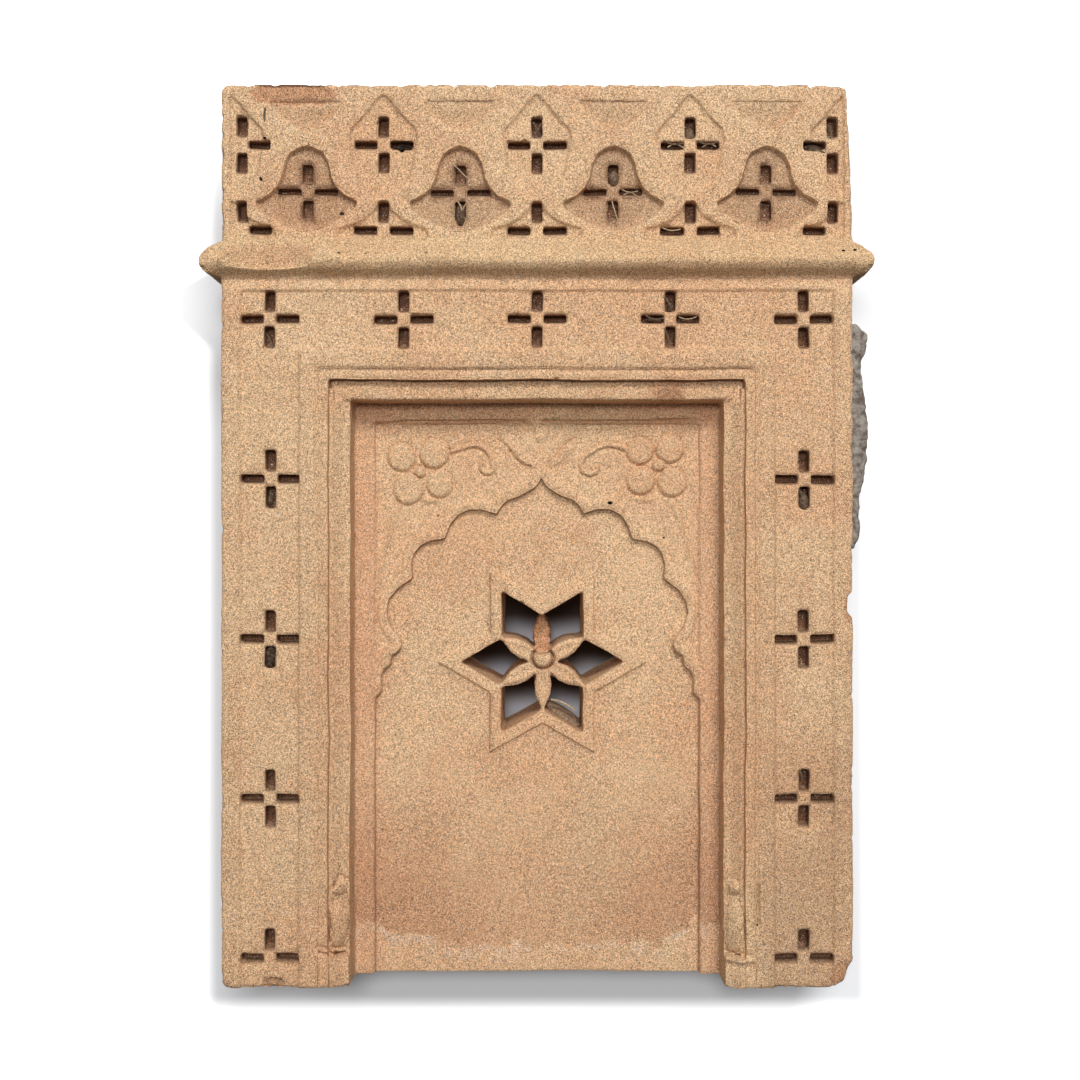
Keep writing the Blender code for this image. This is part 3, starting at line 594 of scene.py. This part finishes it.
def arris_round(across, up, fall, faces_up):
    """How far in from an arris it is worn, and how deep, from its place and how far it falls."""
    frieze = up > CORNICE_TOP - 0.0015
    in_niche = out_of_niche(across, up) < 0
    star = np.hypot(across - STAR[0], up - STAR[1]) < STAR_REACH - 0.002
    slots = within(fall, 0.0155, 0.026)
    reach = np.full(len(fall), 0.0013)
    depth = np.full(len(fall), 0.0009)
    choices = (
        (within(fall, 0.0034, 0.012) & frieze, 0.0056, 0.0044),
        (within(fall, 0.0026, 0.012) & in_niche, 0.004, 0.0028),
        (within(fall, 0.006, 0.0155) & ~frieze & ~in_niche, 0.0022, 0.0024),
        (slots, 0.0009, 0.0006),
        (slots & (faces_up > 0.7), 0.0022, 0.0016),
        ((fall > 0.026) & ~in_niche, 0.0026, 0.0021),
        ((fall > 0.026) & star, 0.0042, 0.0034),
        (fall > 0.1, 0.003, 0.0024),
    )
    for chosen, far, deep in choices:
        reach[chosen] = far
        depth[chosen] = deep
    return reach, depth


def moulding_sink(out, up):
    """How much deeper the jamb's mouldings lie, by the distance out from the niche's edge."""
    level = ramp(up, NICHE_TOP + 0.001, NICHE_TOP - 0.003)
    roll = (0.0005 - 0.008 * level) * ramp(out, 0.003, 0.0172) - 0.003 * (1 - level)
    roll = roll * within(out, 0, 0.0176)
    hollow = 0.002 * ramp(np.abs(out - 0.0272), 0.0042, 0.0008)
    hollow = hollow * ramp(up, NICHE_TOP + 0.03, NICHE_TOP + 0.024)
    return roll + hollow * ramp(up, 0.03, 0.06)


def carve(places, normals):
    """Rounds the arrises and mouldings of the front, each by its own measure."""
    walls = Walls(places, normals, 0.0014)
    front = np.flatnonzero((normals[:, 1] < -0.5) & (places[:, 1] < CARVED_Y))
    flat = places[front][:, [0, 2]]
    across, up = flat.T
    cell, reach_out = walls.nearest(flat)
    away = ((walls.middle[cell] - flat) * walls.way[cell]).sum(1)
    above = away > -0.0003
    fall = np.where(above, walls.deepest[cell] - places[front, 1], 0.0)
    reach, depth = arris_round(across, up, fall, walls.way[cell, 1])
    varied = 1 + 0.45 * uneven(places[front], 0.022, 41) + 0.35 * uneven(places[front], 0.006, 42)
    reach = reach * varied
    share = np.clip(1 - reach_out / reach, 0, 1)
    sink = np.where(above, depth * varied * (1 - np.sqrt(1 - share * share)), 0.0)
    foot = ~above & (reach_out < FOOT_REACH) & (walls.deepest[cell] < THROUGH_Y)
    sink = sink + foot * 0.0013 * varied * (1 - reach_out / FOOT_REACH)
    out = out_of_niche(across, up)
    sink = sink + moulding_sink(out, up)
    arch_band = above & within(fall, 0.004, 0.012) & (out < 0) & (up > 0.3)
    sink = sink + arch_band * 0.0014 * bell(reach_out, 0.0088, 0.001)
    bell_band = above & within(fall, 0.006, 0.012) & (up > CORNICE_TOP + 0.004)
    sink = sink + bell_band * 0.0012 * bell(reach_out, 0.0125, 0.0013)
    places = places.copy()
    places[front, 1] += sink * np.clip(-normals[front, 1], 0, 1)
    return places, walls


def creases(places, normals, walls):
    """1 along the foot of each step of the carving, and 0 away from it: dirt and painted shadow, more where the
    step faces down and left, away from the light.
    """
    front = np.flatnonzero((normals[:, 1] < -0.35) & (places[:, 1] < CARVED_Y))
    cell, reach_out = walls.nearest(places[front][:, [0, 2]])
    fall = walls.deepest[cell] - walls.highest[cell]
    foot = places[front, 1] > walls.deepest[cell] - 0.35 * np.minimum(fall, 0.006)
    # Painted shadow: stronger where the step's wall faces down and left, away from the light
    shaded = np.clip(-0.85 * walls.way[cell, 1] - 0.45 * walls.way[cell, 0], 0, 1)
    share = np.clip(1.25 - reach_out / FOOT_REACH, 0, 1) * foot * (0.3 + 0.7 * shaded)
    line = np.zeros(len(places))
    line[front] = share * (walls.deepest[cell] < THROUGH_Y)
    return line


def segment_distance(flat, start, end):
    way = np.array(end) - np.array(start)
    share = np.clip(((flat - start) @ way) / (way @ way), 0, 1)
    return np.linalg.norm(flat - start - share[:, None] * way, axis=1)


def stroke_rise(spots, strokes):
    """How far lines of low relief lift the surface at each spot, with a fine groove beside each raised one."""
    rise = np.zeros(len(spots))
    for half_width, height, points in strokes:
        apart = np.min([segment_distance(spots, *ends) for ends in zip(points, points[1:])], axis=0)
        rise += height * np.clip(1 - (apart / half_width) ** 2, 0, 1)
        if height > 0:
            rise -= 0.0012 * bell(apart - half_width, 0.0006, 0.0009)
    return rise


def jamb_relief(places, normals):
    """Fills the sharp corner beside the jambs' inner moulding and carves the vases at its foot."""
    across, depth, up = places.T
    out = np.abs(across) - NICHE_HALF
    corner = within(out, 0.014, 0.02) & (up < NICHE_TOP + 0.01) & (depth < FRONT_Y + 0.02)
    depth[corner] = np.minimum(depth[corner], FRONT_Y + 0.006)
    foot = within(out, 0, 0.032) & (up < 0.105) & (depth < FRONT_Y + 0.022)
    near = np.flatnonzero(foot & (normals[:, 1] < -0.6))
    depth[near] -= stroke_rise(places[near][:, [0, 2]], JAMB_STROKES)
    return places


def star_relief(places, normals):
    """Sets the star's boss apart from its petals and roughens the broken petal above it."""
    depth = places[:, 1]
    apart = from_boss(places)
    ring = (normals[:, 1] < -0.3) & within(depth, FRONT_Y + 0.04, FRONT_Y + 0.066) & (apart < 0.013)
    depth[ring] += 0.009 * bell(apart[ring], BOSS_GROOVE, 0.0014)
    depth[ring] -= 0.0012 * ramp(apart[ring], 0.008, 0.006)
    border = (apart < STAR_REACH) & within(depth, FRONT_Y + 0.047, FRONT_Y + 0.0525)
    depth[border] += 0.001
    broken = broken_petal(places)
    places[broken] += normals[broken] * 0.0016 * uneven(places[broken], 0.0032, 91)[:, None]
    return places


def broken_petal(places):
    """Which points are on the stub of the petal that broke off above the boss."""
    across = np.abs(places[:, 0] - STAR[0])
    up = places[:, 2] - STAR[1]
    return (across < 0.0088) & within(up, 0.0085, 0.042) & (places[:, 1] > FRONT_Y + 0.066)


def sloped_slots(places):
    """The floor of each slot rises towards the back, as the chisel left it, and more in the higher rows."""
    inside = np.flatnonzero(within(places[:, 1], FRONT_Y + SLOT_LIP, FRONT_Y + 0.028))
    across, depth, up = places[inside].T
    lift = np.zeros(len(inside))
    for middle, row in CROSSES:
        slope = 0.15 + max(0.0, row - STEEPER_ABOVE) * 0.62
        for out, rise, wide, tall in ARMS:
            low = row + rise - tall / 2
            near = np.abs(across - middle - out) < wide / 2 + 0.001
            near &= np.abs(up - low - tall / 2) < tall / 2 + 0.001
            height = np.clip((up[near] - low) / tall, 0, 1)
            lift[near] = (depth[near] - FRONT_Y - SLOT_LIP) * slope * (1 - height)
    places = places.copy()
    places[inside, 2] += lift
    return places


def spandrel_relief(places):
    """Flattens the domes and rolls on the niche's back, and carves flowers and lines in their place."""
    places = places.copy()
    across, depth, up = places.T
    side = np.abs(across)
    level = FRONT_Y + SPANDREL_DEPTH
    field = (side < FIELD_HALF - 0.001) & within(up, 0.3, FIELD_TOP - 0.001)
    proud = field & within(depth, FRONT_Y + 0.02, level - 0.0002)
    lift = level - depth[proud]
    depth[proud] = level - np.minimum(lift, 0.0018 + 0.15 * lift)
    depth[proud & (side > 0.037) & (up > 0.4345)] = level
    back = (side < NICHE_HALF - 0.004) & within(up, 0.35, NICHE_TOP - 0.003)
    near = np.flatnonzero(back & (np.abs(depth - level) < 0.006))
    spots = places[near][:, [0, 2]]
    rise = np.zeros(len(near))
    for middle, height, radius in FLOWERS:
        apart = np.hypot(spots[:, 0] - middle, spots[:, 1] - height) - radius
        dome = 0.0028 * ramp(apart, 0.0004, -0.0024) - 0.0016 * bell(apart, 0.0008, 0.001)
        raised = np.where(apart < 0, np.maximum(rise, dome), rise + np.minimum(dome, 0))
        rise = np.where(apart < 0.003, raised, rise)
    depth[near] -= rise + stroke_rise(spots, STROKES)
    return places


def spalled(places, normals):
    """Breaks the surface off in shallow scoops, and says how brown each point of them is."""
    brown = np.zeros(len(places))
    ragged = 1 + 0.28 * uneven(places, 0.012, 71) + 0.14 * uneven(places, 0.004, 72)
    for across, up, half_width, half_height, deep, tone in SPALLS:
        share = ((places[:, 0] - across) / half_width) ** 2 + ((places[:, 2] - up) / half_height) ** 2
        near = (share * ragged < 1) & (places[:, 1] < FRONT_Y + 0.035)
        edge = share[near] * ragged[near]
        brown[near] = np.maximum(brown[near], tone * ramp(edge, 1.0, 0.86))
        if deep:
            places[near, 1] += deep * ramp(edge, 1.0, 0.55) * (normals[near, 1] < -0.3)
    return places, brown


def worn_cornice(piece, places):
    """Rounds the cornice, makes its nose wavy and hollows out the broken stretch on the left."""
    on_cornice = within(places[:, 2], CORNICE_LOW - 0.001, CORNICE_TOP + 0.001)
    on_cornice &= (places[:, 1] < FRONT_Y + 0.001) | (np.abs(places[:, 0]) > HALF_WIDTH - 0.002)
    places = worn(piece, places, on_cornice * 1.0, 4)
    across, depth, up = places.T
    beyond = np.clip((np.abs(across) - HALF_WIDTH) / 0.014, 0, 1) * on_cornice
    up -= 0.0036 * beyond * ramp(up, CORNICE_LOW + 0.019, CORNICE_LOW + 0.004)
    up += 0.0022 * beyond * ramp(up, CORNICE_LOW + 0.012, CORNICE_LOW + 0.022)
    proud = np.clip(FRONT_Y - depth, 0, 0.02) * on_cornice
    wave = 0.5 + 0.5 * uneven(places * (1, 0, 0.4), 0.026, 81) + 0.25 * uneven(places, 0.008, 82)
    depth += proud * 0.13 * wave
    apart = np.clip(np.abs(across - BROKEN_NOSE) / 0.0435, 0, 1)
    rim = CORNICE_LOW + 0.0035 + 0.005 * apart ** 2
    scoop = FRONT_Y - 0.0165 * np.maximum(apart ** 3, ramp(up, rim + 0.002, rim)) - 0.0035
    limit = np.where(on_cornice & (apart < 1), scoop, -1.0)
    depth[:] = np.maximum(depth, np.minimum(limit, FRONT_Y))
    return places


def chipped(places, spots):
    """Knocks chips out: each spot is a centre, a radius and the way into the stone."""
    ragged = 1 + 0.35 * uneven(places, 0.0035, 51)
    for centre, radius, way in spots:
        box = np.flatnonzero((np.abs(places - centre) < radius * 1.4).all(1))
        apart = places[box] - centre
        along = apart @ way
        inside = (radius * ragged[box]) ** 2 - (apart * apart).sum(1)
        push = -along + np.sqrt(np.maximum(along * along + inside, 0))
        push = np.where(inside > 0, push, 0.0)
        places[box] += push[:, None] * way
    return places


def slot_dirt_and_shade(places):
    """How dark the crosses' slots are, dirt and painted shade: it starts a little way in and grows with the
    depth.
    """
    across, depth, up = places.T
    in_slots = (out_of_niche(across, up) > 0.038) & (np.abs(across) < HALF_WIDTH - 0.0055)
    in_slots &= (depth < FRONT_Y + 0.03) & (up < 0.798)
    return ramp(depth, FRONT_Y + 0.003, FRONT_Y + 0.014) * in_slots


def random_chips(walls, count, seed):
    """Small chips along the arrises, more on the outer edge than on the slots."""
    dice = np.random.default_rng(seed)
    fall = walls.deepest - walls.highest
    weight = np.where(fall > 0.1, 5.0, np.where(fall > 0.0045, 1.0, 0.12))
    weight *= 0.3 + (walls.middle[:, 1] > CORNICE_TOP)
    spots = []
    for index in dice.choice(len(fall), count, p=weight / weight.sum()):
        radius = dice.uniform(0.0012, 0.0034) * (1.3 if fall[index] > 0.1 else 0.8)
        across, up = walls.middle[index]
        side = walls.way[index]
        way = np.array((-side[0] * 0.7, 0.7, -side[1] * 0.7))
        centre = np.array((across, walls.highest[index] - radius * 0.25, up))
        centre[[0, 2]] += side * radius * 0.4
        spots.append((centre, radius, way / np.linalg.norm(way)))
    return spots


class NICHE_OT_stone(Operator):
    """Wears, roughens and colours the carved slab"""

    bl_idname = "niche.stone"
    bl_label = "Carved stone"

    def execute(self, context):
        settings = context.scene.panel_stone
        piece = copied_node("stone_panel", "sandstone_niche_panel")
        apply_modifier(piece, "REMESH", mode="VOXEL", voxel_size=settings.voxel)
        walls = self.wear(piece, settings)
        faces = len(piece.data.polygons) * 2
        apply_modifier(piece, "DECIMATE", ratio=min(settings.triangles / faces, 1.0))
        self.mark(piece, walls)
        only_select(piece)
        bpy.ops.object.shade_smooth_by_angle(angle=math.radians(34))
        piece.data.materials.append(sandstone(tuple(settings.buff)))
        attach(piece, "root")
        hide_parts("stone_panel")
        return {"FINISHED"}

    @staticmethod
    def wear(piece, settings):
        """Carves the low relief, then wears, breaks and roughens the whole stone."""
        places = spandrel_relief(deepened(places_of(piece)))
        normals = normals_of(piece)
        places, walls = carve(places, normals)
        places = worn_cornice(piece, places)
        places = star_relief(jamb_relief(sloped_slots(places), normals), normals)
        places, _ = spalled(places, normals)
        places = chipped(places, random_chips(walls, settings.chips, 61))
        stray = np.stack([uneven(places, 0.045, seed) for seed in (11, 12, 13)], axis=1)
        stray += 0.4 * np.stack([uneven(places, 0.011, seed) for seed in (14, 15, 16)], axis=1)
        stray[:, 1] *= 0.4
        places = places + stray * settings.wobble
        inside = places[:, 1] > FRONT_Y + 0.004
        share = np.where(places[:, 1] < CARVED_Y, np.where(inside, 0.25, 0.4), 0.8)
        places = worn(piece, places, share, settings.wear_steps)
        set_places(piece, places)
        rough = uneven(places, 0.01, 21) + 0.7 * uneven(places, 0.0045, 22)
        places = places + normals_of(piece) * (rough * settings.roughness)[:, None]
        set_places(piece, np.clip(places, *STONE_BOX))
        return walls

    @staticmethod
    def mark(piece, walls):
        """Stores what the material reads: the hollows' and creases' painted shade and dirt, the dirt and
        painted shadow at the feet of steps, the slots' dirt and painted shade, and what is broken.
        """
        places = np.clip(places_of(piece), *STONE_BOX)
        set_places(piece, places)
        normals = normals_of(piece)
        across, depth, up = places.T
        out = np.abs(across) - NICHE_HALF
        # How closed in each point is darkens it in the material: painted shade with some dirt, kept lighter on
        # the jambs' inner sides and under the lintel
        hollow, crease = closeness(piece, 0.024, 0.005, 12)
        jamb_side = (np.abs(normals[:, 0]) > 0.6) & (np.abs(out) < 0.004)
        lintel = within(up, FIELD_TOP - 0.004, NICHE_TOP) & (normals[:, 1] < -0.5) & (out < 0)
        store(piece, "hollow", hollow * np.where(jamb_side, 0.45, 1.0) * np.where(lintel, 0.35, 1.0))
        # A dark ring in the groove round the boss joins the creases' darkening: painted shade and dirt
        ring = bell(from_boss(places), BOSS_GROOVE, 0.001) * (depth > FRONT_Y + 0.04)
        by_mould = (np.abs(out - ROUND_MOULD) < 0.003) & (up < NICHE_TOP)
        soft = np.where(by_mould, np.where(across > 0, 0.5, 0.2), 1.0)
        store(piece, "crease", np.maximum(crease * soft, ring * 0.62))
        # A dark band just below the cornice's nose: painted shadow of the cornice
        under = 0.8 * bell(up, CORNICE_LOW - 0.0016, 0.0012) * (np.abs(depth - FRONT_Y) < 0.004)
        store(piece, "line", np.maximum(creases(places, normals, walls) * soft, under))
        # The slots' darkening is dirt and painted shade; floors that face up get less, as the light from above
        # falls on them
        store(piece, "slot", slot_dirt_and_shade(places) * np.where(normals[:, 2] > 0.5, 0.66, 1.0))
        brown = spalled(places.copy(), normals)[1]
        store(piece, "broken", np.maximum(brown, broken_petal(places)))


class NICHE_OT_mortar(Operator):
    """Makes the strip of old mortar on the right side lumpy"""

    bl_idname = "niche.mortar"
    bl_label = "Old mortar"

    def execute(self, context):
        piece = copied_node("mortar_remnant", "old_mortar_strip")
        apply_modifier(piece, "REMESH", mode="VOXEL", voxel_size=0.0012)
        places = places_of(piece)
        places = worn(piece, places, np.ones(len(places)), 8)
        set_places(piece, places)
        lumps = uneven(places, 0.007, 31) + 0.5 * uneven(places, 0.003, 32)
        places = places + normals_of(piece) * (lumps * 0.0011)[:, None]
        set_places(piece, np.clip(places, *MORTAR_BOX))
        only_select(piece)
        bpy.ops.object.shade_smooth()
        piece.data.materials.append(old_mortar())
        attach(piece, "root")
        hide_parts("mortar_remnant")
        return {"FINISHED"}


def dry_twig(pale):
    twig = Finish("dry_twig_%d" % round(pale * 10), 0.8)
    streak = twig.noise(500.0, 2.0, 0.6).step(0.3, 0.7)
    low = np.array((0.035, 0.024, 0.018)) * (1 - pale) + np.array((0.36, 0.25, 0.14)) * pale
    high = np.array((0.1, 0.07, 0.05)) * (1 - pale) + np.array((0.66, 0.52, 0.34)) * pale
    return twig.paint(twig.mix(streak, tuple(low), tuple(high)), streak, 0.4, 0.0004)


def lodged_mud():
    mud = Finish("lodged_mud", 0.95)
    dark = mud.attribute("dark")
    grit = mud.noise(420.0, 4.0, 0.7)
    mud.shader.inputs["Specular IOR Level"].default_value = 0.05
    earth = mud.mix(grit.step(0.35, 0.68), (0.22, 0.135, 0.085), (0.5, 0.355, 0.235))
    soot = mud.mix(grit.step(0.42, 0.66), (0.008, 0.005, 0.004), (0.085, 0.058, 0.042))
    return mud.paint(mud.mix(dark, earth, soot), grit, 0.8, 0.0016)


def joined(pieces, name):
    bpy.ops.object.select_all(action="DESELECT")
    for piece in pieces:
        piece.select_set(True)
    bpy.context.view_layer.objects.active = pieces[0]
    bpy.ops.object.join()
    whole = bpy.context.active_object
    whole.name = name
    bpy.ops.object.transform_apply(location=True, rotation=True, scale=True)
    bpy.ops.object.shade_smooth()
    return whole


def rod(points, radius):
    """A round rod through three (across, depth, up) points."""
    bpy.ops.curve.primitive_nurbs_path_add()
    path = bpy.context.active_object
    start, middle, end = (np.array(point) for point in points)
    spots = (start, (start + middle) / 2, middle, (middle + end) / 2, end)
    for spot, place in zip(path.data.splines[0].points, spots):
        spot.co = (*place, 1.0)
    path.data.bevel_depth = radius
    path.data.bevel_resolution = 1
    path.data.resolution_u = 4
    path.data.use_fill_caps = True
    bpy.ops.object.convert(target="MESH")
    return bpy.context.active_object


def lump(place, half_sizes, turn, seed):
    """A knobbly lump with half sizes across, deep and up, turned in the plane of the front."""
    bpy.ops.mesh.primitive_ico_sphere_add(
        subdivisions=4, radius=1.0, location=place, rotation=(0, math.radians(turn), 0), scale=half_sizes
    )
    made = bpy.context.active_object
    spots = places_of(made)
    swell = 0.34 * uneven(spots, 0.65, seed) + 0.34 * uneven(spots, 0.25, seed + 1)
    set_places(made, spots * (0.92 + swell)[:, None])
    return made


class NICHE_OT_debris(Operator):
    """Adds the twigs, mud and seeds that have lodged in the carving"""

    bl_idname = "niche.debris"
    bl_label = "Lodged debris"

    def execute(self, context):
        context.view_layer.update()
        stone = bpy.data.objects["sandstone_niche_panel"]
        tree = BVHTree.FromObject(stone, context.evaluated_depsgraph_get())
        for pale in (False, True):
            rods = []
            for *places, deep, radius, tone in TWIGS:
                if (tone > 0.5) == pale:
                    depths = [FRONT_Y + deep + tip for tip in (0.0, -0.0006, 0.0012)]
                    rods.append(rod(zip(places[::2], depths, places[1::2]), radius))
            name = "lodged_straws" if pale else "lodged_twigs"
            self.finish_piece(joined(rods, name), dry_twig(0.85 if pale else 0.15))
        lumps = []
        for index, (across, deep, up, wide, thick, tall, turn, dark) in enumerate(MUD):
            made = lump((across, FRONT_Y + deep, up), (wide, thick, tall), turn, 101 + 2 * index)
            store(made, "dark", np.full(len(made.data.vertices), dark))
            lumps.append(made)
        self.finish_piece(joined(lumps, "mud_in_the_slots"), lodged_mud())
        seeds = []
        for index, (across, up, wide, tall, turn) in enumerate(SEEDS):
            hit = tree.ray_cast((across, FRONT_Y - 0.1, up), (0, 1, 0))[0]
            made = lump((across, hit.y - 0.0001, up), (wide, 0.0006, tall), turn, 201 + 2 * index)
            store(made, "dark", np.full(len(made.data.vertices), 1.0))
            seeds.append(made)
        self.finish_piece(joined(seeds, "dark_seeds"), lodged_mud())
        return {"FINISHED"}

    @staticmethod
    def finish_piece(piece, material):
        piece.data.materials.clear()
        piece.data.materials.append(material)
        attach(piece, "root")


def area_light(name, place, size, power):
    """A round light that shines at the panel's middle."""
    data = bpy.data.lights.new(name, "AREA")
    data.shape = "DISK"
    data.size = size
    data.energy = power
    light = bpy.data.objects.new(name, data)
    light.location = place
    light.rotation_euler = (Vector((0, 0, 0.4)) - Vector(place)).to_track_quat("-Z", "Y").to_euler()
    bpy.context.scene.collection.objects.link(light)


class NICHE_OT_studio(Operator):
    """Sets the white wall, the soft lights and the camera"""

    bl_idname = "niche.studio"
    bl_label = "Studio"

    def execute(self, context):
        settings = context.scene.studio
        scene = context.scene
        bpy.ops.object.select_all(action="DESELECT")
        self.add_backdrop()
        area_light("key", (0.62, -3.25, 2.7), 1.25, settings.key)
        area_light("front", (-0.1, -3.0, 0.92), 0.6, settings.front)
        world = bpy.data.worlds.new("studio")
        world.use_nodes = True
        sky = world.node_tree.nodes["Background"]
        sky.inputs["Strength"].default_value = settings.sky
        self.darken_below(world.node_tree, sky)
        scene.world = world
        lens = bpy.data.cameras.new("camera")
        lens.lens = LENS
        camera = bpy.data.objects.new("camera", lens)
        camera.location = CAMERA_PLACE
        camera.rotation_euler = (math.pi / 2, 0, 0)
        scene.collection.objects.link(camera)
        scene.camera = camera
        scene.view_settings.view_transform = "Standard"
        return {"FINISHED"}

    @staticmethod
    def darken_below(tree, sky):
        """Less light comes from below the horizon than from above it."""
        way = tree.nodes.new("ShaderNodeTexCoord")
        parts = tree.nodes.new("ShaderNodeSeparateXYZ")
        tree.links.new(way.outputs["Generated"], parts.inputs[0])
        span = tree.nodes.new("ShaderNodeMapRange")
        for name, value in (("From Min", -0.3), ("From Max", 0.3), ("To Min", SKY_BELOW), ("To Max", 1.0)):
            span.inputs[name].default_value = value
        tree.links.new(parts.outputs[2], span.inputs["Value"])
        tree.links.new(span.outputs[0], sky.inputs["Color"])

    @staticmethod
    def add_backdrop():
        """A white wall close behind, with the panel's shadow painted on it and glowing white beyond that
        shadow. It shows from the front only, so the panel's back stays in view.
        """
        bpy.ops.mesh.primitive_plane_add(
            size=14.0, location=(0, BACK_Y + 0.012, 0), rotation=(math.pi / 2, 0, 0)
        )
        wall = bpy.context.active_object
        wall.name = "backdrop"
        white = Finish("backdrop_painted_shade_and_glow", 0.9)
        across, height, _ = white.axes()
        # Painted shadow: dark above and blue-grey below in each gap of the star, and a darker wall behind the
        # panel; beyond the panel's own shadow the wall glows white
        off = abs(across - 0.0055)
        sides = off.step(0.0365, 0.0395) + height.step(0.261, 0.264) * height.step(0.296, 0.293)
        sides = sides.clamped()
        low_gap = height.step(0.23, 0.257) * height.step(0.275, 0.27)
        shade = (1.0 - sides) * (height.step(0.298, 0.326) + low_gap)
        shade = (shade + sides * height.step(0.26, 0.288)).clamped()
        panel = abs(across).step(0.24, 0.2) * height.step(0.06, 0.1) * height.step(0.72, 0.66)
        gap = white.mix(shade, (0.55, 0.58, 0.66), (0.05, 0.035, 0.03))
        white.links.new(white.mix(panel, (0.92, 0.93, 0.95), gap).socket, white.shader.inputs["Base Color"])
        # The glow marks where the painted shadow stops: close round the panel, farther out beside the cornice
        cornice = height.step(0.58, 0.62) * height.step(0.665, 0.64)
        glow_beyond_shadow = (abs(across) - cornice * 0.034).step(0.314, 0.34)
        glow_beyond_shadow = glow_beyond_shadow + height.step(-0.05, -0.078) + height.step(0.795, 0.815)
        glow = white.mix(glow_beyond_shadow.clamped(), (0.0, 0.0, 0.0), (1.0, 1.0, 1.0))
        white.links.new(glow.socket, white.shader.inputs["Emission Color"])
        white.shader.inputs["Emission Strength"].default_value = 1.0
        behind = white.node("ShaderNodeNewGeometry", {}, {}, "Backfacing")
        clear = white.node("ShaderNodeBsdfTransparent", {}, {})
        shown = Socket(white, white.shader.outputs[0])
        both = white.node("ShaderNodeMixShader", {}, [behind, shown, clear])
        white.links.new(both.socket, white.nodes["Material Output"].inputs["Surface"])
        wall.data.materials.append(white.material)
        for kind in ("diffuse", "glossy", "transmission", "shadow"):
            setattr(wall, "visible_" + kind, False)


class NICHE_PT_sidebar(Panel):
    """Lists the operators that build the panel"""

    bl_idname = "NICHE_PT_sidebar"
    bl_label = "Niche Panel"
    bl_space_type = "VIEW_3D"
    bl_region_type = "UI"
    bl_category = "Niche Panel"

    def draw(self, context):
        for operator in OPERATORS:
            self.layout.operator(operator.bl_idname)
        for group in (context.scene.panel_stone, context.scene.studio):
            for name in group.bl_rna.properties.keys():
                if name not in ("rna_type", "name"):
                    self.layout.prop(group, name)


OPERATORS = (NICHE_OT_studio, NICHE_OT_stone, NICHE_OT_mortar, NICHE_OT_debris)
CLASSES = (PanelStone, Studio, *OPERATORS, NICHE_PT_sidebar)


def register():
    for made in CLASSES:
        bpy.utils.register_class(made)
    bpy.types.Scene.panel_stone = PointerProperty(type=PanelStone)
    bpy.types.Scene.studio = PointerProperty(type=Studio)


def unregister():
    del bpy.types.Scene.studio
    del bpy.types.Scene.panel_stone
    for made in reversed(CLASSES):
        bpy.utils.unregister_class(made)


def main():
    register()
    bpy.ops.niche.studio()
    bpy.ops.niche.stone()
    bpy.ops.niche.mortar()
    bpy.ops.niche.debris()


if __name__ == "__main__":
    main()
